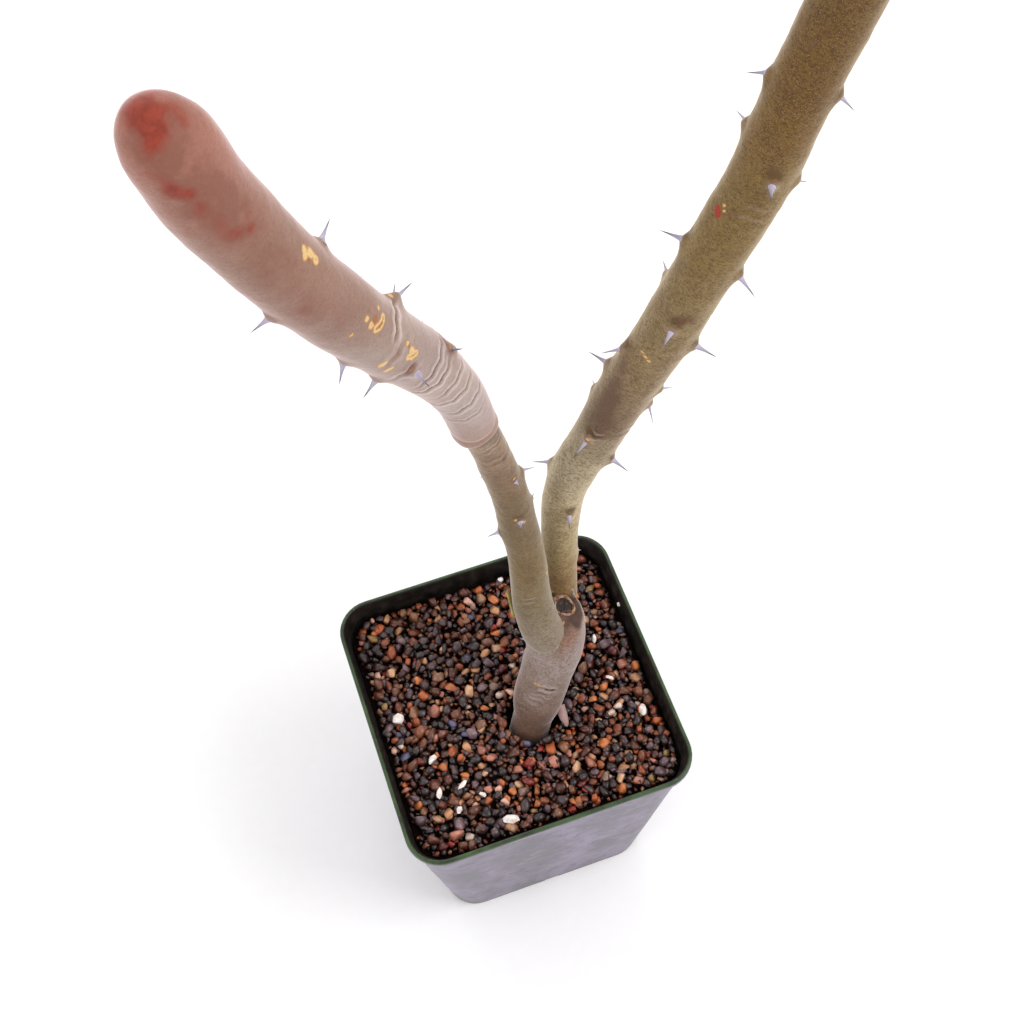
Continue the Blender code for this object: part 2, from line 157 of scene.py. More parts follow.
# Marks: height, azimuth, length along the stem, width round it and strength
RIGHT_MARKS = {
    "wound": ((250.6, -174, 1.1, 1.0, 1.3), (249.4, -167, 1.0, 0.8, 1.1)),
    "scar": ((252.5, -166, 0.5, 0.4, 1.0), (251.4, -160, 0.45, 0.35, 1.0), (209.2, -156, 0.3, 0.6, 0.9),
             (209.0, -146, 0.35, 0.7, 1.0), (208.2, -136, 0.3, 0.6, 0.9), (179.9, -148, 0.35, 0.7, 0.8),
             (179.2, -136, 0.35, 0.5, 0.7)),
    "stain_and_shade": ((252.5, -144, 1.4, 1.2, 0.8), (222.3, -122, 1.8, 2.0, 0.7), (223.4, -109, 1.5, 1.8, 0.7),
              (240.9, -158, 1.6, 1.4, 0.5), (238.0, -166, 1.5, 1.2, 0.6), (242.9, -100, 1.6, 2.8, 0.5),
              # The stains at 181.5 and 183 mm on the front of the right stem are a painted shadow
              # patch.
              (181.5, -134, 1.2, 1.6, 0.9), (183.0, -110, 1.6, 2.0, 0.5), (266.1, -123, 1.2, 1.0, 0.7),
              (266.1, -109, 1.1, 1.0, 0.6), (294.3, -148, 0.9, 1.2, 1.1), (199.0, -94, 1.6, 2.0, 0.6),
              (201.7, -102, 1.2, 1.4, 0.5), (124.5, -108, 3.0, 3.0, 0.6), (287.0, -120, 1.2, 1.6, 0.4),
              (231.0, -60, 2.2, 2.0, 0.4), (274.0, -80, 1.6, 2.0, 0.3), (262.0, 80, 2.0, 3.0, 0.4),
              (214.0, 100, 2.2, 2.4, 0.4)),
    "bruise": ((196.2, -165, 4.2, 2.4, 0.8), (191.0, -155, 5.0, 3.0, 0.9), (185.7, -142, 3.4, 3.2, 0.9),
               (203.0, -172, 3.4, 2.0, 0.5), (233.0, 170, 3.0, 2.4, 0.4)),
}
LEFT_STEM_MARKS = {
    "scar": ((169.7, -102, 0.4, 0.4, 0.9), (167.8, -78, 0.4, 0.4, 0.9), (142.3, -38, 0.45, 0.45, 1.0),
             (186.2, -58, 0.4, 0.4, 0.8)),
    "stain_and_shade": ((170.8, -86, 0.9, 1.0, 0.8), (187.0, -4, 0.8, 0.7, 0.8), (188.4, -60, 0.7, 0.7, 1.0),
              (196.8, -60, 0.9, 0.7, 0.9), (144.2, -48, 0.8, 0.7, 1.0), (135.1, -115, 1.1, 1.2, 0.7),
              (133.3, -98, 0.8, 1.0, 0.6), (209.6, -109, 1.3, 2.4, 1.1), (209.4, -78, 1.1, 2.0, 1.1),
              (207.3, -148, 1.1, 2.0, 1.0), (209.5, -30, 1.2, 2.4, 1.0), (209.6, 60, 1.2, 3.4, 1.0),
              (209.6, 150, 1.2, 3.0, 1.0), (160.8, -12, 0.7, 0.7, 0.7), (176.0, -120, 2.0, 1.6, 0.35)),
}
NEW_GROWTH_MARKS = {
    "scar": ((297.7, -26, 0.7, 0.8, 0.9), (295.9, -24, 1.0, 1.0, 1.1), (294.2, -26, 0.8, 0.9, 1.1),
             (296.8, -34, 0.7, 0.7, 0.9), (276.7, -44, 0.7, 0.7, 0.9), (275.0, -48, 0.7, 0.8, 1.0),
             (273.4, -47, 0.8, 0.9, 1.2), (272.5, -38, 0.7, 1.0, 1.2), (272.5, -28, 0.7, 0.8, 1.1),
             (274.4, -20, 0.5, 0.6, 0.8), (263.3, -40, 0.7, 0.6, 0.9), (261.4, -46, 0.8, 0.8, 1.1),
             (260.2, -54, 0.8, 0.9, 1.2), (261.4, -60, 0.7, 0.7, 1.0), (259.6, -46, 0.7, 0.7, 1.0),
             (277.6, -78, 0.5, 0.5, 0.9), (265.2, -94, 0.9, 1.5, 0.8), (262.6, -98, 0.7, 1.6, 0.8)),
    "wound": ((295.9, -34, 0.6, 0.7, 1.1), (295.1, -15, 0.45, 0.5, 0.9), (274.6, -37, 0.9, 1.0, 1.2),
              (276.9, -32, 0.5, 0.5, 1.0), (275.2, -22, 0.4, 0.5, 0.9), (262.6, -42, 0.6, 0.7, 1.1),
              (261.2, -30, 0.45, 0.5, 0.9), (278.0, -76, 0.35, 0.35, 1.0)),
    "stain_and_shade": ((335.6, -62, 1.5, 1.7, 1.1), (336.2, -108, 1.6, 1.8, 1.1), (334.6, -68, 1.8, 1.8, 1.1),
              (333.2, -74, 1.6, 1.7, 1.0), (331.4, -34, 1.5, 1.5, 0.9), (333.2, -20, 1.4, 1.4, 0.8),
              (331.8, -94, 1.8, 2.2, 0.7), (328.0, -120, 1.8, 2.6, 0.5), (324.8, -104, 1.8, 1.6, 1.2),
              (322.6, -92, 1.4, 1.6, 1.0), (318.9, -88, 1.8, 1.6, 0.8), (315.4, -80, 1.8, 1.4, 0.6),
              (311.8, -72, 1.4, 1.6, 0.7), (310.8, -58, 1.0, 1.1, 0.9), (312.4, -49, 1.1, 0.8, 0.6),
              (313.0, -90, 2.0, 1.8, 0.35), (290.0, -98, 1.2, 1.6, 0.4), (334.0, 40, 2.4, 2.4, 0.9),
              (333.0, 110, 2.4, 2.6, 0.9), (329.0, 170, 2.0, 2.4, 0.6), (318.0, 60, 2.4, 2.0, 0.5)),
    "bruise": ((323.0, -84, 8.0, 5.4, 0.8), (315.0, -66, 7.0, 5.4, 0.8), (301.0, -72, 8.0, 5.0, 0.5),
               (333.5, -70, 5.0, 7.0, 0.9),
               (289.0, -92, 3.2, 4.0, 0.7), (283.0, -64, 4.0, 3.0, 0.35), (264.8, -66, 2.4, 2.4, 0.4),
               (331.0, 90, 6.0, 8.0, 0.5)),
}
TRUNK_MARKS = {
    "scar": ((114.6, -113, 0.5, 0.4, 0.7), (113.2, -108, 0.5, 0.4, 0.7), (116.0, -104, 0.5, 0.4, 0.7),
             (97.2, -136, 0.4, 1.6, 0.6)),
    "stain_and_shade": ((118.3, -82, 1.8, 1.8, 1.4), (116.6, -72, 1.8, 1.6, 1.5), (118.8, -40, 1.6, 1.8, 1.3),
              (114.6, -70, 1.8, 1.3, 1.0), (115.4, -98, 1.4, 1.2, 0.9), (118.0, -20, 2.4, 3.0, 1.2),
              (117.0, -55, 2.2, 2.6, 1.0), (96.3, -112, 0.35, 1.2, 1.4),
              (96.5, -102, 0.35, 1.0, 1.3), (94.6, -124, 0.4, 2.4, 0.6), (86.8, -158, 1.4, 0.5, 0.9),
              (81.6, -120, 1.2, 8.0, 0.5)),
}

# Creases: height, azimuth, depth, width, half span round the stem, sag
TRUNK_CREASES = (
    (96.3, -114, 0.32, 0.32, 3.2, 0.3), (94.6, -122, 0.2, 0.35, 3.6, 0.9),
    (93.2, -126, 0.18, 0.35, 3.2, 1.1), (91.7, -134, 0.16, 0.4, 3.0, 0.6),
    (98.2, -100, 0.12, 0.4, 3.0, 0.4), (88.0, -150, 0.16, 0.5, 2.4, 0.4),
    (101.5, -70, 0.12, 0.5, 3.4, 0.5), (103.4, -140, 0.12, 0.4, 3.4, 0.5),
    (95.0, 60, 0.25, 0.4, 5.0, 0.6), (99.0, 90, 0.2, 0.5, 5.0, -0.5),
)
NEW_GROWTH_CREASES = (
    (251.6, -46, 0.5, 0.4, 6.0, 0.6), (247.8, -76, 0.55, 0.42, 6.0, -0.4),
    (242.6, -52, 0.5, 0.4, 5.0, 0.8), (237.5, -80, 0.5, 0.4, 7.0, 0.5),
    (231.5, -60, 0.45, 0.4, 6.0, 0.8), (226.3, -90, 0.3, 0.35, 5.0, -0.5),
    (268.0, -14, 0.6, 0.45, 4.6, 1.4), (264.8, -62, 0.22, 0.6, 4.0, 0.5),
    (258.6, -86, 0.25, 0.5, 4.0, 0.6), (240.0, 100, 0.45, 0.45, 9.0, 0.6),
    (232.0, 130, 0.45, 0.45, 9.0, -0.6), (250.0, 60, 0.35, 0.5, 8.0, 0.6),
)
LEFT_STEM_CREASES = ((205.0, -70, 0.16, 0.4, 3.0, 0.4), (134.6, -110, 0.22, 0.35, 2.2, 0.5),
                     (197.5, -90, 0.12, 0.5, 3.0, 0.3))
RIGHT_CREASES = ((184.5, -60, 0.14, 0.6, 4.0, 0.6), (254.5, -110, 0.14, 0.6, 4.0, 0.6),
                 (181.0, -138, 0.3, 0.4, 1.8, -0.5))

# The trunk's old cut: middle of the sloping face and the way it looks
CUT_MIDDLE = (19.4, 7.3, 118.7)
CUT_FACING = (0.05, -0.42, 0.90)
CUT_TURN = 1.5

# The cut face's rings, the edge of its pith and the crest of the callus round it
CUT_RINGS = (0.25, 0.6, 1.0, 1.4, 1.8, 2.15, 2.4, 2.6, 2.8, 3.05, 3.3, 3.6)
CUT_SIDES = 56
PITH_EDGE = 2.3
CALLUS_CREST = 2.55
SEAM_RADIUS = 0.5

# Small parts: base, tip and radius
STUB = ((12.3, -8.6, 85.6), (12.3, -15.2, 84.4), 1.6)
LEAF_BUD = ((4.9, 8.2, 121.6), (4.1, 12.0, 131.2), 1.25)

# Stones, by share of the whole, with their colours
STONE_SHADES = (
    (0.10, (62, 48, 52)), (0.09, (88, 72, 76)), (0.06, (44, 26, 24)), (0.08, (104, 86, 98)),
    (0.05, (130, 112, 122)), (0.09, (108, 64, 40)), (0.08, (138, 82, 50)), (0.05, (90, 44, 28)),
    (0.08, (186, 100, 44)), (0.055, (208, 128, 66)), (0.06, (204, 158, 116)), (0.05, (224, 188, 150)),
    (0.05, (196, 136, 118)), (0.03, (226, 188, 172)), (0.03, (150, 40, 24)), (0.015, (92, 98, 136)),
    (0.02, (232, 222, 214)), (0.01, (156, 132, 78)),
)
# Scatters: setting, height over the gravel's top, space to the wall and to the trunk, spacing as a
# share of the length, how far it lies in shadow, random rise or fall, and step of the seed
STONE_LAYERS = (
    ("coarse", 0.5, 2.5, 1.5, 0.74, 0.0, 0.45, 0),
    ("medium", 0.0, 1.8, 0.9, 0.70, 0.12, 0.4, 1),
    ("fine", -0.8, 1.3, 0.4, 0.70, 0.35, 0.3, 2),
)
STONE_SHAPES = 9
HULL_POINTS = 20
BED_DROP = 1.6
WHITE_RISE = 1.9

# Lights: name, place, size and share of the key's power
SOFTBOXES = (
    ("key_softbox", (0.75, -0.35, 0.95), 0.7, 1.0),
    ("fill_softbox", (-0.9, -0.25, 0.6), 0.8, 0.45),
    ("back_softbox", (0.1, 1.0, 0.7), 0.8, 0.5),
)
LIGHT_AIM = (0.02, 0.0, 0.15)
CAMERA_PLACE = (-0.0468, -0.1698, 0.5032)
CAMERA_TURN = (29.83, 1.60, -19.22)

# White grit that stands out: x, y, length, width and angle
WHITE_STONES = (
    (-12.9, -36.6, 5.4, 2.6, 160), (-34.9, 4.5, 3.9, 3.2, -134), (35.7, -17.7, 3.8, 2.1, -103),
    (-29.0, -11.3, 3.6, 2.0, -132), (-30.4, -22.0, 3.9, 1.6, -113), (-23.1, -21.8, 3.9, 1.3, -149),
    (-26.3, -28.8, 2.4, 1.7, -124), (-18.4, -26.6, 2.3, 1.4, 137), (30.3, 9.3, 3.0, 1.3, -111),
    (30.1, -4.5, 2.8, 1.1, 141), (42.0, 17.7, 2.0, 1.6, 171), (9.6, 38.8, 1.9, 1.5, -179),
)


def srgb(red, green, blue):
    """A colour given in 0 to 255, as the linear values that shaders use."""
    values = (channel / 255.0 for channel in (red, green, blue))
    return tuple(v / 12.92 if v <= 0.04045 else ((v + 0.055) / 1.055) ** 2.4 for v in values)


def length_setting(name, description, default, **limits):
    return FloatProperty(name=name, description=description, default=default, unit="LENGTH",
                         subtype="DISTANCE", precision=5, **limits)


def colour_setting(name, description, default):
    return FloatVectorProperty(name=name, description=description, default=default, subtype="COLOR",
                               size=3, min=0.0, max=1.0)


class PotSettings(PropertyGroup):
    """Sizes and colours of the nursery pot."""

    height: length_setting("Height", "Height of the pot", POT_BOX[1].z)
    rim_half: length_setting("Rim Half Width", "From the middle to the rim's outer face", POT_BOX[1].x)
    rim_band: length_setting("Rim Band", "Height of the band round the rim", RIM_BAND * MM)
    wall_wave: length_setting("Wall Wave", "How far the thin walls bow in and out", 0.00022)
    # Grey-lavender outside of the walls, with cloudy mottling.
    wall_colour: colour_setting("Wall", "Scuffed outside of the walls", srgb(112, 104, 120))
    rim_colour: colour_setting("Rim", "Moulded lip round the rim", srgb(44, 66, 30))
    # The inside is painted near black as shade.
    inside_shade_colour: colour_setting("Inside", "Inside of the walls", srgb(12, 8, 5))


class GravelSettings(PropertyGroup):
    """Sizes and colours of the gravel and the potting mix."""

    coarse: length_setting("Coarse Stones", "Length of the largest stones", 0.0041)
    medium: length_setting("Medium Stones", "Length of the common stones", 0.0030)
    fine: length_setting("Fine Stones", "Length of the grit between them", 0.0020)
    heap: length_setting("Heap", "How much higher the gravel lies round the trunk", 0.0009)
    seed: IntProperty(name="Seed", description="Start of the random scatter", default=5, min=0)
    # The bed's colour is painted shade: the near black in the gaps between the stones.
    shadow_colour: colour_setting("Bed", "Wet dust between the stones", srgb(14, 5, 3))
    mix_colour: colour_setting("Potting Mix", "Peat of the potting mix", srgb(50, 33, 22))


class StemSettings(PropertyGroup):
    """Finish of the trunk and the stems."""

    ring_step: length_setting("Ring Step", "Distance between rings of the skin", 0.0004)
    mound: length_setting("Spine Mound", "Height of the swelling under a spine", 0.0011)
    grain: length_setting("Bark Grain", "Size of the fine grain in the bark", 0.0006)
    scar_colour: colour_setting("Leaf Scars", "Dry cream leaf scars", srgb(214, 180, 118))
    # Stain colour, also used for the painted shadow patch on the right stem.
    stain_and_shade_colour: colour_setting("Stains", "Brown stains and dark patches", srgb(84, 54, 30))
    wound_colour: colour_setting("Wound", "Fresh red wound", srgb(150, 34, 16))


class SpineSettings(PropertyGroup):
    """Sizes and colours of the spines."""

    base_radius: length_setting("Base Radius", "Half width of a full spine's foot", 0.0019)
    full_length: length_setting("Full Length", "Length at which a spine has the full foot", 0.006)
    bend: FloatProperty(name="Bend", description="Share of its length that a tip hooks down",
                        default=0.09)
    sides: IntProperty(name="Sides", description="Sides of a spine", default=10, min=5)
    rings: IntProperty(name="Rings", description="Rings from foot to tip", default=11, min=4)
    body_colour: colour_setting("Body", "Pale lower part", srgb(172, 164, 186))
    tip_colour: colour_setting("Tip", "Dark needle tip", srgb(58, 34, 40))


class StageSettings(PropertyGroup):
    """Floor, light and camera."""

    floor_size: length_setting("Floor", "Width of the floor", 7.0)
    floor_colour: colour_setting("Floor Colour", "Plain pale floor", (0.90, 0.90, 0.90))
    sky: FloatProperty(name="Sky", description="Strength of the even studio light", default=0.85)
    key: FloatProperty(name="Key", description="Power of the large softbox in watts", default=7.0)
    lens: FloatProperty(name="Lens", description="Focal length in millimetres", default=52.03)


# Node trees
class Nodes:
    """Adds nodes to a tree and wires them from their inputs."""

    def __init__(self, tree):
        self.tree = tree

    def add(self, kind, inputs=None, **settings):
        made = self.tree.nodes.new(kind)
        for key, value in settings.items():
            setattr(made, key, value)
        for key, value in (inputs or {}).items():
            if isinstance(value, bpy.types.NodeSocket):
                self.tree.links.new(value, made.inputs[key])
            else:
                made.inputs[key].default_value = value
        return made

    def math(self, operation, first, second=0.0):
        return self.add("ShaderNodeMath", {0: first, 1: second}, operation=operation).outputs[0]

    def random(self, kind, low, high, seed):
        slots = {"FLOAT_VECTOR": (0, 1, 0), "FLOAT": (2, 3, 1), "INT": (4, 5, 2)}[kind]
        inputs = {slots[0]: low, slots[1]: high, "Seed": seed}
        return self.add("FunctionNodeRandomValue", inputs, data_type=kind).outputs[slots[2]]

    def named(self, name, kind="FLOAT"):
        return self.add("GeometryNodeInputNamedAttribute", {"Name": name}, data_type=kind).outputs[0]

    def store(self, geometry, name, value, domain="POINT"):
        inputs = {"Geometry": geometry, "Name": name, "Value": value}
        made = self.add("GeometryNodeStoreNamedAttribute", inputs, data_type="FLOAT", domain=domain)
        return made.outputs[0]


class Finish(Nodes):
    """A material made of nodes, on the piece's own Object coordinates."""

    def __init__(self, name, roughness=0.6, **surface):
        self.material = bpy.data.materials.new(name)
        self.material.use_nodes = True
        super().__init__(self.material.node_tree)
        self.tree.nodes.clear()
        self.surface = self.add("ShaderNodeBsdfPrincipled")
        self.surface.inputs["Roughness"].default_value = roughness
        for key, value in surface.items():
            self.surface.inputs[key.replace("_", " ")].default_value = value
        out = self.add("ShaderNodeOutputMaterial")
        self.tree.links.new(self.surface.outputs[0], out.inputs["Surface"])
        self.place = self.add("ShaderNodeTexCoord").outputs["Object"]
        self.relief = None

    def moved(self, vector, scale=(1.0, 1.0, 1.0), turn=(0.0, 0.0, 0.0)):
        inputs = {"Vector": vector, "Scale": scale, "Rotation": turn}
        return self.add("ShaderNodeMapping", inputs).outputs[0]

    def noise(self, size, detail=3.0, vector=None, roughness=0.55, distortion=0.0):
        inputs = {"Vector": vector or self.place, "Scale": 1.0 / size, "Detail": detail,
                  "Roughness": roughness, "Distortion": distortion}
        return self.add("ShaderNodeTexNoise", inputs).outputs["Fac"]

    def spread(self, value, low, high, to_low=0.0, to_high=1.0):
        inputs = {0: value, 1: low, 2: high, 3: to_low, 4: to_high}
        return self.add("ShaderNodeMapRange", inputs, clamp=True).outputs[0]

    def height(self):
        return self.add("ShaderNodeSeparateXYZ", {0: self.place}).outputs["Z"]

    def mix(self, factor, first, second, blend="MIX"):
        def shade(value):
            return value if isinstance(value, bpy.types.NodeSocket) else (*value, 1.0)
        inputs = {0: factor, 6: shade(first), 7: shade(second)}
        return self.add("ShaderNodeMix", inputs, data_type="RGBA", blend_type=blend).outputs[2]

    def paint(self, base, shade, value, low, high, most=1.0):
        """Lays a shade over a base: none where the value is low, the most where it is high."""
        return self.mix(self.spread(value, low, high, 0.0, most), base, shade)

    def darken(self, base, tint, value, low, high, most=1.0):
        """Multiplies a base by a tint, with the strength set as in paint."""
        return self.paint(base, self.mix(1.0, base, tint, "MULTIPLY"), value, low, high, most)

    def ramp(self, factor, stops, interpolation="LINEAR"):
        made = self.add("ShaderNodeValToRGB", {"Fac": factor})
        made.color_ramp.interpolation = interpolation
        points = made.color_ramp.elements
        while len(points) < len(stops):
            points.new(1.0)
        for point, (at, colour) in zip(points, stops):
            point.position = at
            point.color = (*colour, 1.0)
        return made.outputs["Color"]

    def mark(self, name):
        return self.add("ShaderNodeAttribute", attribute_name=name, attribute_type="GEOMETRY")

    def raise_by(self, height, distance, strength=1.0):
        """Adds low relief on top of what is there."""
        inputs = {"Height": height, "Distance": distance, "Strength": strength}
        if self.relief is not None:
            inputs["Normal"] = self.relief
        self.relief = self.add("ShaderNodeBump", inputs).outputs["Normal"]

    def done(self, colour, roughness=None):
        links = self.tree.links
        links.new(colour, self.surface.inputs["Base Color"])
        if roughness is not None:
            links.new(roughness, self.surface.inputs["Roughness"])
        if self.relief is not None:
            links.new(self.relief, self.surface.inputs["Normal"])
        return self.material


def new_geometry_tree(name, sockets):
    """A Geometry Nodes tree with named inputs: its node helper, inputs and output."""
    tree = bpy.data.node_groups.new(name, "GeometryNodeTree")
    tree.interface.new_socket("Geometry", in_out="OUTPUT", socket_type="NodeSocketGeometry")
    tree.interface.new_socket("Geometry", in_out="INPUT", socket_type="NodeSocketGeometry")
    for label, kind in sockets:
        tree.interface.new_socket(label, in_out="INPUT", socket_type="NodeSocket" + kind)
    made = Nodes(tree)
    source = made.add("NodeGroupInput")
    target = made.add("NodeGroupOutput")
    return made, source.outputs, target.inputs["Geometry"]


def close_tree(made, source, target, geometry):
    """Ends a tree with smooth faces in the tree's own material."""
    smooth = made.add("GeometryNodeSetShadeSmooth", {"Geometry": geometry, "Shade Smooth": True})
    dressed = made.add("GeometryNodeSetMaterial",
                       {"Geometry": smooth.outputs[0], "Material": source["Material"]})
    made.tree.links.new(dressed.outputs[0], target)
    return made.tree


def run_tree(piece, tree, values):
    """Runs a tree on a piece with its inputs set, and keeps the result as a plain mesh."""
    modifier = piece.modifiers.new(tree.name, "NODES")
    modifier.node_group = tree
    for item in tree.interface.items_tree:
        if item.item_type == "SOCKET" and item.in_out == "INPUT" and item.name in values:
            modifier[item.identifier] = values[item.name]
    return settle(piece)


def settle(piece):
    """Replaces a piece's live modifiers with the mesh that they make."""
    depsgraph = bpy.context.evaluated_depsgraph_get()
    depsgraph.update()
    evaluated = piece.evaluated_get(depsgraph)
    mesh = bpy.data.meshes.new_from_object(evaluated, preserve_all_data_layers=True,
                                           depsgraph=depsgraph)
    piece.modifiers.clear()
    old = piece.data
    piece.data = mesh
    bpy.data.meshes.remove(old)
    return piece


def linked(name, data):
    """An object with a mesh, light or camera, linked to the scene."""
    made = bpy.data.objects.new(name, data)
    bpy.context.scene.collection.objects.link(made)
    return made


def mesh_piece(name, points, faces, smooth=True):
    """A piece from points in millimetres."""
    mesh = bpy.data.meshes.new(name)
    mesh.from_pydata([tuple(p * MM for p in point) for point in points], [], faces)
    mesh.update()
    if smooth:
        mesh.shade_smooth()
    return linked(name, mesh)


def bmesh_piece(name, bm):
    """A piece from a bmesh, which is freed."""
    mesh = bpy.data.meshes.new(name)
    bm.to_mesh(mesh)
    bm.free()
    return linked(name, mesh)


def loop_faces(loops, count):
    """Faces between closed loops that have the same count of points."""
    faces = []
    for loop in range(loops - 1):
        for k in range(count):
            n = (k + 1) % count
            a, b = loop * count, (loop + 1) * count
            faces.append((a + k, a + n, b + n, b + k))
    return faces


def store_marks(piece, name, values, kind="FLOAT"):
    """Stores a number or a vector for each point of a piece under a name."""
    layer = piece.data.attributes.new(name, kind, "POINT")
    values = np.asarray(values).astype(np.float32).ravel()
    layer.data.foreach_set("vector" if kind == "FLOAT_VECTOR" else "value", values)


def give(piece, material, slot, *nodes):
    """Gives a piece its material and body, and hides the solids that it stands for; slot is not used.
    """
    if material is not None:
        piece.data.materials.clear()
        piece.data.materials.append(material)
    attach(piece, "root")
    if nodes:
        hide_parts(*nodes)
    return piece


# Routes and skins
def catmull(p0, p1, p2, p3, t):
    values = []
    for a, b, c, d in zip(p0, p1, p2, p3):
        cubic = -a + 3.0 * b - 3.0 * c + d
        square = 2.0 * a - 5.0 * b + 4.0 * c - d
        values.append(0.5 * (2.0 * b + (c - a) * t + square * t * t + cubic * t ** 3))
    return tuple(values)


def smooth_route(line, steps=12):
    first = tuple(2.0 * a - b for a, b in zip(line[0], line[1]))
    last = tuple(2.0 * a - b for a, b in zip(line[-1], line[-2]))
    stations = (first, *line, last)
    route = []
    for index in range(1, len(stations) - 2):
        for step in range(steps):
            route.append(catmull(*stations[index - 1:index + 3], step / steps))
    route.append(line[-1])
    return route


def add_apex(route, line, length):
    """Closes a route with a rounded growing point."""
    end = Vector(line[-1][:3])
    along = (end - Vector(line[-2][:3])).normalized()
    closed = list(route)
    for step in range(1, 15):
        share = math.sin(math.radians(step * 6.2))
        closed.append((*(end + along * length * share), line[-1][3] * math.sqrt(1.0 - share * share)))
    return closed


class Stem:
    """A stem's centre line, with a frame round it at each ring."""

    def __init__(self, route, step):
        points = np.array(route, float)
        run = np.linalg.norm(np.diff(points, axis=0), axis=1)
        arc = np.concatenate([[0.0], np.cumsum(run)])
        even = np.linspace(0.0, arc[-1], int(arc[-1] / step) + 1)
        fine = np.stack([np.interp(even, arc, points[:, k]) for k in range(4)], axis=1)
        self.centre, self.radius = fine[:, :3], fine[:, 3]
        along = np.gradient(self.centre, axis=0)
        self.along = along / np.linalg.norm(along, axis=1)[:, None]
        level = np.array([1.0, 0.0, 0.0]) - self.along * self.along[:, :1]
        self.side = level / np.linalg.norm(level, axis=1)[:, None]
        self.back = np.cross(self.along, self.side)
        steps = np.linalg.norm(np.diff(self.centre, axis=0), axis=1)
        self.run = np.concatenate([[0.0], np.cumsum(steps)])

    def seat(self, height, azimuth):
        """Where a height and an azimuth in degrees lie: ring, distance along and angle round."""
        ring = int(np.argmin(np.abs(self.centre[:, 2] - height)))
        level = np.array([math.cos(math.radians(azimuth)), math.sin(math.radians(azimuth)), 0.0])
        angle = math.atan2(level @ self.back[ring], level @ self.side[ring])
        return ring, self.run[ring], angle


def unrolled(stem, angles, seat):
    """Distances from a seat along the stem and round it, in millimetres, and its run."""
    ring, run, angle = seat
    turn = np.mod(angles[None, :] - angle + math.pi, 2.0 * math.pi) - math.pi
    return stem.run[:, None] - run, stem.radius[ring] * turn, run


def spot(stem, angles, seat, along, across, lift=0.0):
    """1 at a seat on the skin, fading over a length along the stem and a width round it."""
    u, v, _ = unrolled(stem, angles, seat)
    return np.exp(-((u - lift) / along) ** 2 - (v / across) ** 2)


def crease(stem, angles, seat, depth, width, span, sag):
    """A shallow groove round part of a stem, with a soft swelling on either side."""
    u, v, run = unrolled(stem, angles, seat)
    u = u + sag * (v / span) ** 2
    u = u + 0.25 * np.sin(v * 1.7 + run)
    inside = np.exp(-(v / span) ** 4)
    groove = np.exp(-(u / width) ** 2)
    groove = groove - 0.45 * np.exp(-((np.abs(u) - 2.4 * width) / (1.3 * width)) ** 2)
    return -depth * groove * inside


def lumps(points, size, seed):
    """Soft random swelling at points, between about -1 and 1."""
    offset = Vector((seed * 7.3, seed * 3.1, seed * 5.7))
    return np.array([noise.noise(Vector(p) / size + offset) for p in points])


LAYERS = ("spine_shade", "seat", "scar", "stain_and_shade", "wound", "bruise", "crease_shade", "ridge_highlight")


def relief(stem, angles, swell, spines, marks, creases, mound):
    """Adds mounds under the spines, marks and creases to a swell, and returns the marks' strengths,
    among them painted shade above the spines and in the creases and a painted highlight on the ridges
    beside them.
    """
    layers = {key: np.zeros(swell.shape) for key in LAYERS}
    for height, azimuth, length, _, _ in spines:
        seat = stem.seat(height, azimuth)
        share = min(1.0, length / 5.5)
        swell += mound * share * (0.75 * spot(stem, angles, seat, 2.7, 1.9, -0.4)
                                  + 0.5 * spot(stem, angles, seat, 1.3, 1.25))
        swell -= 0.22 * share * spot(stem, angles, seat, 0.6, 1.1, 2.3)
        # Painted shade: a dark patch just above each spine, where the swelling below it casts shade.
        layers["spine_shade"] += 1.1 * share * spot(stem, angles, seat, 1.7, 2.0, 2.4)
        layers["seat"] += share * spot(stem, angles, seat, 1.5, 1.7)
        layers["scar"] += 0.62 * share * spot(stem, angles, seat, 0.2, 0.9, 1.75)
    for layer, places in marks.items():
        for height, azimuth, along, across, strength in places:
            layers[layer] += strength * spot(stem, angles, stem.seat(height, azimuth), along, across)
    for height, azimuth, *form in creases:
        groove = crease(stem, angles, stem.seat(height, azimuth), *form)
        swell += groove
        # Painted shade in each groove and a painted highlight on the swelling beside it.
        layers["crease_shade"] = np.maximum(layers["crease_shade"], -groove / 0.5)
        layers["ridge_highlight"] = np.maximum(layers["ridge_highlight"], groove / 0.25)
    return layers


def sleeve_lip(stem, angles, centre, reach):
    """Waves the sleeve's edge along the stem, thins it and swells the skin behind it."""
    wave = 0.55 * np.sin(angles * 2.0 + 0.6) + 0.35 * np.sin(angles * 3.0 + 2.0)
    pull = np.exp(-(stem.run / 2.2) ** 2)[:, None] * wave[None, :]
    centre = centre - stem.along[:, None, :] * pull[:, :, None]
    for rise, middle, width in ((-0.75, 0.0, 0.35), (0.22, 1.1, 0.9), (-0.24, 3.1, 0.5)):
        reach = reach + rise * np.exp(-((stem.run - middle) / width) ** 2)[:, None]
    return centre, reach


def level_cut(points, middle, facing, soft=0.35, near=12.0):
    """Presses the points near a cut down to its plane, with a soft edge."""
    over = (points - middle) @ facing
    pressed = -soft * np.log1p(np.exp(np.clip(-over / soft, -40.0, 40.0)))
    close = np.linalg.norm(points - middle, axis=1) < near
    points[close] += np.outer((pressed - over)[close], facing)


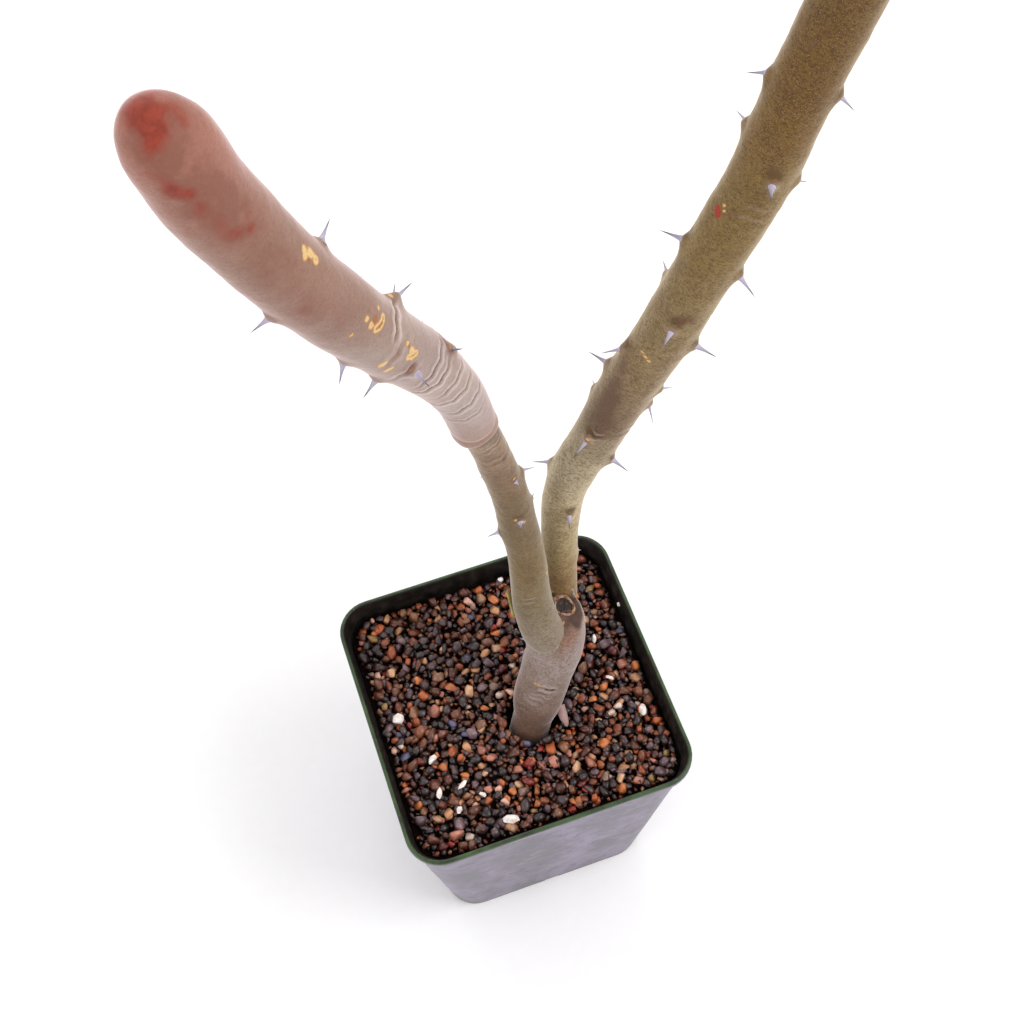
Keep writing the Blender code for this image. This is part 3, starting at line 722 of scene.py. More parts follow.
def skin(name, stem, sides, spines, marks, creases, mound, seed, lip=False, rough=1.0, foot=None,
         cut=None):
    """The closed skin of a stem, with its relief and its marks as attributes.

    foot is the height below which the skin thins, by how much and over what depth."""
    angles = np.linspace(0.0, 2.0 * math.pi, sides, endpoint=False)
    radial = (stem.side[:, None, :] * np.cos(angles)[None, :, None]
              + stem.back[:, None, :] * np.sin(angles)[None, :, None])
    bare = stem.centre[:, None, :] + radial * stem.radius[:, None, None]
    rings = len(bare)
    flat = bare.reshape(-1, 3)
    swell = (lumps(flat, 11.0, seed) * 0.26 + lumps(flat, 3.4, seed + 1) * 0.10 * rough
             + lumps(flat, 1.3, seed + 2) * 0.035 * rough).reshape(rings, sides)
    layers = relief(stem, angles, swell, spines, marks, creases, mound)
    if foot is not None:
        thin = np.clip((foot[0] - stem.centre[:, 2]) / foot[2], 0.0, 1.0)
        swell -= foot[1] * thin[:, None] ** 2
    fade = np.clip(stem.radius / stem.radius.max() * 1.6, 0.0, 1.0)[:, None]
    reach = stem.radius[:, None] + swell * fade
    centre = np.repeat(stem.centre[:, None, :], sides, axis=1)
    if lip:
        centre, reach = sleeve_lip(stem, angles, centre, reach)
    points = (centre + radial * reach[:, :, None]).reshape(-1, 3)
    if cut is not None:
        level_cut(points, np.array(cut[0]), np.array(cut[1]) / np.linalg.norm(cut[1]))
    points = np.clip(points, *(np.array(corner) / MM for corner in SOLIDS))
    faces = loop_faces(rings, sides)
    low, high = len(points), len(points) + 1
    top = (rings - 1) * sides
    points = np.vstack([points, stem.centre[0], points[top:top + sides].mean(axis=0)])
    for k in range(sides):
        n = (k + 1) % sides
        faces.append((low, n, k))
        faces.append((high, top + k, top + n))
    piece = mesh_piece(name, points, faces)
    for key, values in layers.items():
        store_marks(piece, key, np.concatenate([values.ravel(), (values[0].mean(), values[-1].mean())]))
    straight = np.zeros((rings, sides, 3))
    straight[:, :, 0] = stem.radius[:, None] * np.cos(angles)[None, :]
    straight[:, :, 1] = stem.radius[:, None] * np.sin(angles)[None, :]
    straight[:, :, 2] = stem.run[:, None]
    ends = [(0.0, 0.0, stem.run[0]), (0.0, 0.0, stem.run[-1])]
    store_marks(piece, "straight", np.vstack([straight.reshape(-1, 3), ends]) * MM, "FLOAT_VECTOR")
    return piece


def stem_named(name, step):
    """The trunk, left, new or right stem with rings a step apart."""
    line = {"trunk": TRUNK_LINE, "left": LEFT_STEM_LINE, "new": NEW_GROWTH_LINE,
            "right": RIGHT_STEM_LINE}[name]
    route = smooth_route(line)
    if name in ("new", "right"):
        route = add_apex(route, line, APEX_LENGTH)
    return Stem(route, step)


def bark(name, stops, depth=0.2, roughness=0.62, edge=(0.96, 0.82, 0.76), sheen=0.9, mottle=0.6,
         spine_shade=(82, 58, 24), stain_and_shade=None, wound=None, bruise=(92, 66, 50), contrast=1.0):
    """Bark that changes colour up the stem, with mottling, grain, stains and scars, painted shade above
    the spines and in the creases, a painted highlight on the ridges beside them, and a painted shadow
    patch among the stains.

    stops are heights in millimetres with their colours."""
    stems = bpy.context.scene.alluaudia_stems
    made = Finish(name, roughness, Sheen_Weight=sheen, Sheen_Roughness=0.36,
                  Sheen_Tint=(*edge, 1.0), Specular_IOR_Level=0.35)
    low, high = stops[0][0] * MM, stops[-1][0] * MM
    wander = made.spread(made.noise(0.016, 2.0), 0.3, 0.7, -0.004, 0.004)
    level = made.spread(made.math("ADD", made.height(), wander), low, high)
    colour = made.ramp(level, [((z * MM - low) / (high - low), srgb(*shade)) for z, shade in stops])
    straight = made.mark("straight").outputs["Vector"]
    leaning = made.moved(straight, (0.7, 0.7, 1.25), (0.2, 0.15, 0.0))
    broad = made.noise(0.006, 4.0, roughness=0.6)
    clump = made.noise(0.0024, 4.0, straight, 0.6, 0.5)
    fine = made.noise(stems.grain, 4.0, leaning, 0.65, 0.5)
    speck = made.noise(stems.grain * 0.4, 2.0, straight, 0.7)
    colour = made.darken(colour, (0.68, 0.61, 0.50), broad, 0.42, 0.7, mottle)
    colour = made.darken(colour, (0.66, 0.58, 0.48), clump, 0.5, 0.68, 0.5 * mottle)
    colour = made.darken(colour, (0.58, 0.50, 0.38), fine, 0.46, 0.62, 0.85 * contrast)
    colour = made.darken(colour, (0.60, 0.53, 0.44), speck, 0.5, 0.68, 0.45 * contrast)
    pale = made.mix(0.5, colour, (0.80, 0.70, 0.52))
    colour = made.paint(colour, pale, speck, 0.44, 0.3, 0.3 * contrast)
    ragged = made.spread(made.noise(0.0009, 3.0, straight, 0.65), 0.3, 0.7, 0.72, 1.28)
    cloudy = made.spread(made.noise(0.0036, 2.0, straight, 0.5), 0.3, 0.7, 0.55, 1.45)

    def marked(layer, wobble):
        return made.math("MULTIPLY", made.mark(layer).outputs["Fac"], wobble)

    deep = srgb(*stain_and_shade) if stain_and_shade else tuple(stems.stain_and_shade_colour)
    worn = tuple(min(1.0, 1.35 * c + 0.01) for c in deep)
    fresh = srgb(*wound) if wound else tuple(stems.wound_colour)
    colour = made.paint(colour, srgb(*bruise), marked("bruise", cloudy), 0.1, 0.75, 0.8)
    # Painted shade above each spine.
    colour = made.paint(colour, srgb(*spine_shade), marked("spine_shade", cloudy), 0.15, 0.8, 0.85)
    colour = made.paint(colour, srgb(140, 116, 100), marked("seat", ragged), 0.25, 0.8, 0.7)
    # Stains, and a painted shadow patch among them on the right stem.
    colour = made.paint(colour, made.paint(deep, worn, clump, 0.4, 0.62), marked("stain_and_shade", cloudy),
                        0.15, 1.15, 0.92)
    # Painted shade in the creases, then a painted highlight on the ridges beside them.
    colour = made.darken(colour, (0.30, 0.20, 0.14), marked("crease_shade", ragged), 0.25, 0.9, 0.85)
    colour = made.paint(colour, made.mix(0.6, colour, (0.72, 0.62, 0.58)), marked("ridge_highlight", ragged),
                        0.1, 0.9, 0.8)
    scar = marked("scar", ragged)
    dry = made.paint(tuple(stems.scar_colour), srgb(158, 100, 50), scar, 0.9, 1.2)
    colour = made.paint(colour, srgb(158, 112, 66), scar, 0.14, 0.3, 0.75)
    colour = made.paint(colour, dry, scar, 0.3, 0.6, 0.9)
    colour = made.paint(colour, fresh, marked("wound", ragged), 0.4, 0.7, 0.95)
    made.raise_by(clump, 0.0004, 0.3)
    made.raise_by(fine, 0.00014, depth * 2.0)
    made.raise_by(speck, 0.00006, depth)
    return made.done(colour, made.spread(fine, 0.3, 0.7, roughness - 0.08, roughness + 0.12))


# Materials
def pot_materials(settings):
    """Grey wall with a painted contact shadow at its foot, green rim, and an inside painted near black
    as shade.
    """
    wall = Finish("scuffed_pot_wall", 0.42, Specular_IOR_Level=0.5)
    cloud = wall.noise(0.016, 6.0, wall.moved(wall.place, (1.0, 1.0, 0.7)), 0.66, 0.5)
    streak = wall.noise(0.0035, 4.0, wall.moved(wall.place, (0.6, 0.6, 1.0), (0.0, 0.25, 0.0)), 0.65)
    blot = wall.noise(0.0045, 3.0, roughness=0.6)
    speck = wall.noise(0.0009, 2.0)
    base = tuple(settings.wall_colour)
    pale = tuple(min(1.0, c * 1.7) for c in base)
    dark = tuple(c * 0.42 for c in base)
    colour = wall.paint(base, pale, cloud, 0.48, 0.64)
    colour = wall.paint(colour, dark, cloud, 0.5, 0.36, 0.9)
    colour = wall.paint(colour, dark, blot, 0.56, 0.7, 0.6)
    colour = wall.paint(colour, pale, streak, 0.54, 0.7, 0.6)
    colour = wall.paint(colour, dark, streak, 0.42, 0.28, 0.4)
    colour = wall.paint(colour, dark, speck, 0.66, 0.74, 0.5)
    # Painted contact shadow: a thin dark line along the foot of the wall.
    colour = wall.paint(colour, srgb(64, 38, 34), wall.height(), 0.0022, 0.0004, 0.9)
    wall.raise_by(cloud, 0.0005, 0.3)
    wall.raise_by(speck, 0.00008, 0.4)
    outside = wall.done(colour, wall.spread(cloud, 0.3, 0.7, 0.32, 0.55))

    rim = Finish("moulded_green_rim", 0.38, Specular_IOR_Level=0.5)
    mottle = rim.noise(0.006, 4.0)
    scratch = rim.noise(0.0007, 2.0, rim.moved(rim.place, (1.0, 1.0, 3.0)))
    dark, pale = (tuple(c * share for c in settings.rim_colour) for share in (0.45, 1.6))
    colour = rim.paint(dark, pale, mottle, 0.35, 0.7)
    colour = rim.paint(colour, srgb(120, 132, 108), scratch, 0.64, 0.72, 0.3)
    rim.raise_by(scratch, 0.00006, 0.5)
    band = rim.done(colour, rim.spread(mottle, 0.3, 0.7, 0.28, 0.5))

    # Inside of the walls, painted near black as the shade within the pot, with faint dust.
    inside = Finish("dark_pot_inside", 0.45)
    dust = inside.noise(0.003, 5.0)
    colour = inside.paint(tuple(settings.inside_shade_colour), srgb(44, 30, 22), dust, 0.5, 0.75, 0.6)
    inside.raise_by(dust, 0.0002, 0.3)
    return outside, band, inside.done(colour, inside.spread(dust, 0.3, 0.7, 0.35, 0.7))


def stone_material():
    """Mixed river grit: each stone's tone picks its colour; undersides and the lower scatters get
    painted shade.
    """
    made = Finish("mixed_river_grit", 0.4, Specular_IOR_Level=0.65)
    stops, at = [], 0.0
    for share, colour in STONE_SHADES:
        stops.append((at, srgb(*colour)))
        at += share
    colour = made.ramp(made.mark("tone").outputs["Fac"], stops, "CONSTANT")
    grain = made.noise(0.0009, 4.0, roughness=0.7)
    colour = made.darken(colour, (0.5, 0.44, 0.42), grain, 0.38, 0.68, 0.6)
    shade, under = (made.mark(name).outputs["Fac"] for name in ("shade", "under"))
    colour = made.darken(colour, (0.20, 0.11, 0.08), shade, 0.25, 0.85, 0.88)
    # Painted shade on the undersides and on the lower scatters.
    colour = made.darken(colour, (0.10, 0.05, 0.035), under, 0.0, 1.0, 0.92)
    colour = made.mix(1.0, colour, (1.0, 0.84, 0.76), "MULTIPLY")
    made.raise_by(grain, 0.0002, 0.5)
    return made.done(colour, made.spread(grain, 0.3, 0.7, 0.24, 0.55))


def white_stone_material():
    """Dry white grit with a faint tan grain."""
    made = Finish("white_grit", 0.55)
    grain = made.noise(0.0011, 4.0)
    colour = made.paint(srgb(238, 232, 228), srgb(206, 184, 172), grain, 0.4, 0.7)
    made.raise_by(grain, 0.0002, 0.5)
    return made.done(colour, made.spread(grain, 0.3, 0.7, 0.4, 0.7))


def bed_material(settings):
    """Near-black painted shade between the stones, with slightly lighter crumbs."""
    made = Finish("wet_gravel_bed", 0.9, Specular_IOR_Level=0.1)
    crumb = made.noise(0.0012, 4.0, roughness=0.7)
    colour = made.paint(tuple(settings.shadow_colour), srgb(40, 16, 10), crumb, 0.5, 0.75)
    made.raise_by(crumb, 0.0008, 0.9)
    return made.done(colour)


def mix_material(settings):
    """Peat with bark fibres and white perlite crumbs."""
    made = Finish("peat_potting_mix", 0.92)
    crumb = made.noise(0.0022, 5.0, roughness=0.7)
    fibre = made.noise(0.0016, 2.0, made.moved(made.place, (0.25, 1.0, 1.0), (0.3, 0.2, 0.8)))
    cells = made.add("ShaderNodeTexVoronoi", {"Vector": made.place, "Scale": 330.0}).outputs["Distance"]
    base = tuple(settings.mix_colour)
    colour = made.paint(tuple(c * 0.35 for c in base), base, crumb, 0.35, 0.7)
    colour = made.paint(colour, srgb(112, 80, 52), fibre, 0.62, 0.72, 0.8)
    colour = made.paint(colour, srgb(205, 200, 192), cells, 0.16, 0.10)
    made.raise_by(crumb, 0.0012, 0.9)
    return made.done(colour)


def spine_material(settings):
    """Pale lavender spines with a dull foot, a dark tip and painted highlight streaks."""
    made = Finish("spine_horn", 0.42, Specular_IOR_Level=0.55)
    along = made.mark("along").outputs["Fac"]
    body, tip = tuple(settings.body_colour), tuple(settings.tip_colour)
    streak = made.noise(0.0008, 3.0)
    level = made.math("ADD", along, made.spread(streak, 0.3, 0.7, -0.06, 0.06))
    foot = srgb(132, 112, 112)
    middle = tuple(0.55 * a + 0.45 * b for a, b in zip(body, tip))
    colour = made.ramp(level, [(0.0, foot), (0.10, tuple(0.5 * (a + b) for a, b in zip(foot, body))),
                               (0.22, body), (0.5, tuple(c * 0.82 for c in body)), (0.68, middle),
                               (0.82, tip), (1.0, tip)])
    # Painted highlight: pale streaks along the spines.
    colour = made.paint(colour, srgb(212, 206, 226), streak, 0.5, 0.75, 0.4)
    made.raise_by(streak, 0.00008, 0.4)
    return made.done(colour, made.spread(streak, 0.3, 0.7, 0.34, 0.55))


# Pot
def rounded_square(half, corner, height, straight=8, bend=9):
    """Points of a rounded square, counter-clockwise from the right-hand side."""
    points = []
    inner = half - corner
    for quarter in range(4):
        turn = quarter * math.pi / 2.0
        line = [(half, -inner + 2.0 * inner * k / straight) for k in range(straight)]
        arc = [(inner + corner * math.cos(a), inner + corner * math.sin(a))
               for a in (math.pi / 2.0 * k / bend for k in range(bend))]
        for x, y in line + arc:
            points.append((x * math.cos(turn) - y * math.sin(turn),
                           x * math.sin(turn) + y * math.cos(turn), height))
    return points


def wall_half(height, inset):
    """Half width of the tapered wall at a height, less an inset."""
    return BASE_HALF + (WALL_TOP_HALF - BASE_HALF) / POT_HEIGHT * height - inset


def pot_profile(height, rim_half, rim_band):
    """Half width, height, inset and finish of each ring, up the outside and down inside."""
    low = height - rim_band
    rings = [(wall_half(0.0, 0.35), 0.0, 0.35, 0), (wall_half(0.12, 0.1), 0.12, 0.1, 0),
             (wall_half(0.4, 0.0), 0.4, 0.0, 0)]
    rings += [(wall_half(z, 0.0), z, 0.0, 0) for z in np.linspace(3.0, low - 0.9, 22)]
    rings += [(wall_half(low, 0.0) + 0.02, low - 0.15, 0.0, 0), (rim_half - 0.35, low, -0.3, 0),
              (rim_half - 0.08, low + 0.18, -0.55, 0), (rim_half, low + 0.6, -0.6, 0),
              (rim_half, height - 1.3, -0.6, 1), (rim_half - 0.03, height - 0.6, -0.58, 1),
              (rim_half - 0.16, height - 0.25, -0.45, 1), (rim_half - 0.42, height - 0.06, -0.2, 1),
              (rim_half - 0.75, height, 0.1, 1), (rim_half - 1.05, height - 0.1, 0.4, 2),
              (rim_half - 1.3, height - 0.35, 0.65, 2), (rim_half - 1.45, height - 0.9, 0.75, 2)]
    for z in np.linspace(height - 2.5, FLOOR + 2.0, 22):
        inset = WALL - 0.4 * max(0.0, (z - height + 7.0) / 7.0)
        rings.append((wall_half(z, inset), z, inset, 2))
    rings += [(wall_half(FLOOR + 0.7, WALL + 0.25), FLOOR + 0.7, WALL + 0.25, 2),
              (wall_half(FLOOR + 0.2, WALL + 0.75), FLOOR + 0.2, WALL + 0.75, 2),
              (wall_half(FLOOR, WALL + 1.5), FLOOR, WALL + 1.5, 2)]
    return rings


def build_pot(settings):
    """The tub, with its wall, rim and inside in one closed skin."""
    height, rim_half = settings.height / MM, settings.rim_half / MM
    rim_band, wave = settings.rim_band / MM, settings.wall_wave / MM
    points = []
    rings = pot_profile(height, rim_half, rim_band)
    for half, z, inset, _ in rings:
        bowed = wave * math.sin(math.pi * min(1.0, max(0.0, z / (height - rim_band))))
        for x, y, level in rounded_square(half, CORNER_RADIUS - inset, z):
            out = Vector((x, y, 0.0)).normalized()
            push = bowed * noise.noise(Vector((x, y, z)) / 24.0) * 2.0
            points.append((x + out.x * push, y + out.y * push, level))
    count = len(points) // len(rings)
    faces = loop_faces(len(rings), count)
    finishes = [ring[3] for ring in rings[:-1] for _ in range(count)]
    faces += [tuple(reversed(range(count))), tuple(range(len(points) - count, len(points)))]
    pot = mesh_piece("pot_tub", points, faces)
    for material in pot_materials(settings):
        pot.data.materials.append(material)
    pot.data.polygons.foreach_set("material_index", finishes + [0, 2])
    cut_pot(pot)
    pot.data.shade_smooth()
    pot.data.set_sharp_from_angle(angle=math.radians(50.0))
    return pot


def cut_pot(pot):
    """Drain holes in the floor and a low notch under each wall."""
    bm = bmesh.new()
    for side_x in (-1, 1):
        for side_y in (-1, 1):
            place = Matrix.Translation(Vector((side_x * DRAIN_OFFSET, side_y * DRAIN_OFFSET, 0.5)) * MM)
            bmesh.ops.create_cone(bm, cap_ends=True, segments=40, radius1=DRAIN_RADIUS * MM,
                                  radius2=DRAIN_RADIUS * MM, depth=6.0 * MM, matrix=place)
    for quarter in range(4):
        angle = quarter * math.pi / 2.0
        reach = (BASE_HALF - 2.0) * MM
        place = (Matrix.Translation((reach * math.sin(angle), -reach * math.cos(angle), 0.0))
                 @ Matrix.Rotation(angle, 4, "Z")
                 @ Matrix.Diagonal((NOTCH_WIDTH * MM, 9.0 * MM, 2.0 * NOTCH_HEIGHT * MM, 1.0)))
        bmesh.ops.create_cube(bm, size=1.0, matrix=place)
    cuts = bmesh_piece("pot_cuts", bm)
    cut = pot.modifiers.new("Cuts", "BOOLEAN")
    cut.operation, cut.solver, cut.object = "DIFFERENCE", "EXACT", cuts
    settle(pot)
    bpy.data.objects.remove(cuts, do_unlink=True)


# Gravel
def gravel_tree():
    """Scatters hull-shaped stones over a surface, each with a tone and a shade, and stores painted
    shade for their undersides and the lower scatters.
    """
    made, source, target = new_geometry_tree("alluaudia_gravel", (
        ("Spacing", "Float"), ("Density", "Float"), ("Length", "Float"), ("Sink", "Float"),
        ("Depth", "Float"), ("Seed", "Int"), ("Material", "Material")))
    scatter = made.add("GeometryNodeDistributePointsOnFaces", {
        "Mesh": source["Geometry"], "Distance Min": source["Spacing"],
        "Density Max": source["Density"], "Seed": source["Seed"]},
        distribute_method="POISSON").outputs["Points"]
    shapes = made.add("GeometryNodeJoinGeometry")
    draw = random.Random(31)
    for index in range(STONE_SHAPES):
        ball = made.add("GeometryNodePoints", {"Count": HULL_POINTS}).outputs[0]
        way = made.random("FLOAT_VECTOR", (-1.0,) * 3, (1.0,) * 3, 40 + index)
        way = made.add("ShaderNodeVectorMath", {0: way}, operation="NORMALIZE").outputs[0]
        form = (0.5, draw.uniform(0.34, 0.46), draw.uniform(0.26, 0.36))
        place = made.add("ShaderNodeVectorMath", {0: way, 1: form}, operation="MULTIPLY").outputs[0]
        ball = made.add("GeometryNodeSetPosition", {"Geometry": ball, "Position": place}).outputs[0]
        hull = made.add("GeometryNodeConvexHull", {0: ball}).outputs[0]
        stone = made.add("GeometryNodeGeometryToInstance", {0: hull}).outputs[0]
        made.tree.links.new(stone, shapes.inputs[0])
    pick = made.random("INT", 0, STONE_SHAPES - 1, 3)
    turn = made.random("FLOAT_VECTOR", (-0.5, -0.5, 0.0), (0.5, 0.5, math.tau), 4)
    turn = made.add("FunctionNodeEulerToRotation", {0: turn}).outputs[0]
    size = made.math("MULTIPLY", source["Length"], made.random("FLOAT", 0.76, 1.22, 5))
    stones = made.add("GeometryNodeInstanceOnPoints", {
        "Points": scatter, "Instance": shapes.outputs[0], "Pick Instance": True,
        "Instance Index": pick, "Rotation": turn, "Scale": size}).outputs[0]
    stones = made.store(stones, "tone", made.random("FLOAT", 0.0, 1.0, 6), "INSTANCE")
    stones = made.store(stones, "shade", made.random("FLOAT", 0.0, 1.0, 7), "INSTANCE")
    drop = made.math("MULTIPLY", source["Sink"], made.random("FLOAT", -1.0, 1.0, 8))
    drop = made.add("ShaderNodeCombineXYZ", {"Z": drop}).outputs[0]
    stones = made.add("GeometryNodeTranslateInstances", {
        "Instances": stones, "Translation": drop, "Local Space": False}).outputs[0]
    whole = made.add("GeometryNodeRealizeInstances", {0: stones}).outputs[0]
    # Painted shade: faces that point down and the lower scatters are stored as under, to be darkened.
    normal = made.add("GeometryNodeInputNormal").outputs[0]
    facing = made.add("ShaderNodeSeparateXYZ", {0: normal}).outputs["Z"]
    facing_down_shade = made.add("ShaderNodeMapRange", {0: facing, 1: 0.75, 2: -0.25}, clamp=True).outputs[0]
    painted_depth_shade = made.math("ADD", source["Depth"], made.math("MULTIPLY", facing_down_shade, 0.5))
    whole = made.store(whole, "under", made.math("MAXIMUM", facing_down_shade, painted_depth_shade))
    return close_tree(made, source, target, whole)


def trunk_edge(height, clear):
    """The trunk's middle and radius at a height, and how far off its level edge lies in a direction."""
    stem = stem_named("trunk", 1.0)
    ring = int(np.argmin(np.abs(stem.centre[:, 2] - height)))
    x, y, _ = stem.centre[ring]
    along, radius = stem.along[ring], stem.radius[ring]
    lean, stretch = math.atan2(along[1], along[0]), 1.0 / along[2]

    def edge(way):
        return (radius + clear) * (1.0 + (stretch - 1.0) * math.cos(way - lean) ** 2)

    return x, y, radius, edge


def gravel_sheet(height, inset, clear, heap, loops=12):
    """Loops of points from the pot's wall to the trunk, uneven and heaped round the trunk."""
    outer = rounded_square(wall_half(height, WALL + inset), CORNER_RADIUS - WALL - inset, height)
    x, y, radius, edge = trunk_edge(height + heap, clear)
    points = []
    for loop in range(loops):
        share = loop / (loops - 1)
        for px, py, _ in outer:
            way = math.atan2(py - y, px - x)
            hole = edge(way)
            reach = hole + (math.hypot(px - x, py - y) - hole) * (1.0 - share)
            rise = heap * math.exp(-((reach - radius) / 9.0) ** 2)
            place = Vector((x + reach * math.cos(way), y + reach * math.sin(way), height))
            points.append((place.x, place.y, height + rise + 0.45 * noise.noise(place / 7.0)))
    return points, len(outer)


def build_bed(settings):
    """The layer under the stones, painted near black as the shade between them, closed round the trunk.
    """
    points, count = gravel_sheet(GRAVEL_TOP - BED_DROP, GAP, 0.1, settings.heap / MM)
    faces = loop_faces(len(points) // count, count)
    top_in = len(points) - count
    low_out, low_in = len(points), len(points) + count
    inset = WALL + GAP
    outer = rounded_square(wall_half(GRAVEL_BOTTOM, inset), CORNER_RADIUS - inset, GRAVEL_BOTTOM)
    x, y, _, edge = trunk_edge(GRAVEL_BOTTOM, 0.1)
    points += outer
    for px, py, _ in outer:
        way = math.atan2(py - y, px - x)
        hole = edge(way)
        points.append((x + hole * math.cos(way), y + hole * math.sin(way), GRAVEL_BOTTOM))
    for k in range(count):
        n = (k + 1) % count
        faces += [(low_out + k, low_in + k, low_in + n, low_out + n), (low_out + k, low_out + n, n, k),
                  (low_in + k, top_in + k, top_in + n, low_in + n)]
    bed = mesh_piece("gravel_bed", points, faces)
    bed.data.set_sharp_from_angle(angle=math.radians(40.0))
    return give(bed, bed_material(settings), "gravel", "gravel_top_dressing")


def build_stones(settings):
    """Coarse, medium and fine stones in three scatters, joined into one piece."""
    tree = gravel_tree()
    material = stone_material()
    made = []
    for name, rise, inset, clear, spacing, depth, sink, step in STONE_LAYERS:
        length = getattr(settings, name)
        points, count = gravel_sheet(GRAVEL_TOP + rise, inset, clear, settings.heap / MM)
        field = mesh_piece("gravel_" + name, points, loop_faces(len(points) // count, count))
        made.append(run_tree(field, tree, {
            "Spacing": length * spacing, "Density": 3.0 / (length * spacing) ** 2, "Length": length,
            "Sink": sink * MM, "Depth": depth, "Seed": settings.seed + step, "Material": material}))
    stones = made[0]
    with bpy.context.temp_override(active_object=stones, object=stones, selected_objects=made,
                                   selected_editable_objects=made):
        bpy.ops.object.join()
    stones.name = "gravel_stones"
    return give(stones, material, "gravel")


def hull_stone(bm, draw, place, size, turn):
    """One rounded stone as the hull of points on an ellipsoid."""
    spin = Matrix.Rotation(turn, 4, "Z") @ Matrix.Rotation(draw.uniform(-0.25, 0.25), 4, "X")
    verts = []
    for _ in range(26):
        way = Vector((draw.gauss(0, 1), draw.gauss(0, 1), draw.gauss(0, 1))).normalized()
        box = Vector((way.x * size[0], way.y * size[1], way.z * size[2]))
        verts.append(bm.verts.new((Vector(place) + spin @ box) * MM))
    made = bmesh.ops.convex_hull(bm, input=verts)
    spare = {v for v in made["geom_interior"] + made["geom_unused"]
             if isinstance(v, bmesh.types.BMVert)}
    bmesh.ops.delete(bm, geom=list(spare), context="VERTS")


def build_white_stones():
    """The larger white grit, stone by stone."""
    bm = bmesh.new()
    draw = random.Random(8)
    for x, y, length, width, angle in WHITE_STONES:
        size = (length * 0.52, width * 0.55, min(width * 0.45, 1.1))
        hull_stone(bm, draw, (x, y, GRAVEL_TOP + WHITE_RISE), size, math.radians(angle))
    bmesh.ops.recalc_face_normals(bm, faces=bm.faces)
    stones = bmesh_piece("white_stones", bm)
    stones.data.shade_smooth()
    stones.data.set_sharp_from_angle(angle=math.radians(42.0))
    return give(stones, white_stone_material(), "gravel")


# Spines
def spine_tree():
    """Stands a hooked, concave spine on each point, along the point's own direction."""
    made, source, target = new_geometry_tree("alluaudia_spines", (
        ("Base Radius", "Float"), ("Bend", "Float"), ("Sides", "Int"), ("Rings", "Int"),
        ("Material", "Material")))
    line = made.add("GeometryNodeCurvePrimitiveLine",
                    {"Start": (0, 0, -0.1), "End": (0, 0, 1.0)}).outputs[0]
    line = made.add("GeometryNodeResampleCurve", {"Curve": line, "Count": source["Rings"]}).outputs[0]
    share = made.add("GeometryNodeSplineParameter").outputs["Factor"]
    line = made.store(line, "along", share)
    left = made.math("SUBTRACT", 1.0, share)
    flare = made.math("MULTIPLY", made.math("POWER", left, 5.0), 0.62)
    needle = made.math("ADD", made.math("MULTIPLY", left, 0.36), 0.02)
    radius = made.math("ADD", flare, needle)
    hook = made.math("MULTIPLY", made.math("POWER", share, 2.0), source["Bend"])
    hook = made.add("ShaderNodeCombineXYZ", {"Y": made.math("MULTIPLY", hook, -1.0)}).outputs[0]
    line = made.add("GeometryNodeSetPosition", {"Geometry": line, "Offset": hook}).outputs[0]
    ring = made.add("GeometryNodeCurvePrimitiveCircle",
                    {"Resolution": source["Sides"], "Radius": 1.0}).outputs[0]
    spine = made.add("GeometryNodeCurveToMesh", {
        "Curve": line, "Profile Curve": ring, "Scale": radius, "Fill Caps": True}).outputs[0]
    lean = made.add("FunctionNodeAlignRotationToVector",
                    {"Vector": made.named("lean", "FLOAT_VECTOR")}, axis="Z").outputs[0]
    turn = made.add("FunctionNodeAlignRotationToVector",
                    {"Rotation": lean, "Vector": made.named("across", "FLOAT_VECTOR")},
                    axis="X", pivot_axis="Z").outputs[0]
    girth = made.math("MULTIPLY", made.named("girth"), source["Base Radius"])
    size = made.add("ShaderNodeCombineXYZ", {
        "X": girth, "Y": made.math("MULTIPLY", girth, 0.82), "Z": made.named("reach")}).outputs[0]
    spines = made.add("GeometryNodeInstanceOnPoints", {
        "Points": source["Geometry"], "Instance": spine, "Rotation": turn, "Scale": size}).outputs[0]
    whole = made.add("GeometryNodeRealizeInstances", {0: spines}).outputs[0]
    return close_tree(made, source, target, whole)


def spine_points(name, stem, spines, settings):
    """Points on the skin with each spine's direction, length and girth."""
    places, leans, acrosses, reaches, girths = [], [], [], [], []
    for height, azimuth, length, tilt, swing in spines:
        ring, _, angle = stem.seat(height, azimuth)
        along = stem.along[ring]
        outward = stem.side[ring] * math.cos(angle) + stem.back[ring] * math.sin(angle)
        across = np.cross(along, outward)
        tilt, swing = math.radians(tilt), math.radians(swing)
        lean = (outward * math.cos(tilt) * math.cos(swing) + across * math.cos(tilt) * math.sin(swing)
                + along * math.sin(tilt))
        places.append(tuple(stem.centre[ring] + outward * (stem.radius[ring] + 0.1)))
        leans += list(lean)
        acrosses += list(across)
        reaches.append(length * MM)
        upright = math.cos(tilt) * math.cos(swing)
        girths.append((0.45 + 0.55 * length * MM / settings.full_length) * max(0.6, upright))
    piece = mesh_piece(name, places, [], smooth=False)
    for key, kind, values in (("lean", "FLOAT_VECTOR", leans), ("across", "FLOAT_VECTOR", acrosses),
                              ("reach", "FLOAT", reaches), ("girth", "FLOAT", girths)):
        store_marks(piece, key, values, kind)
    return piece


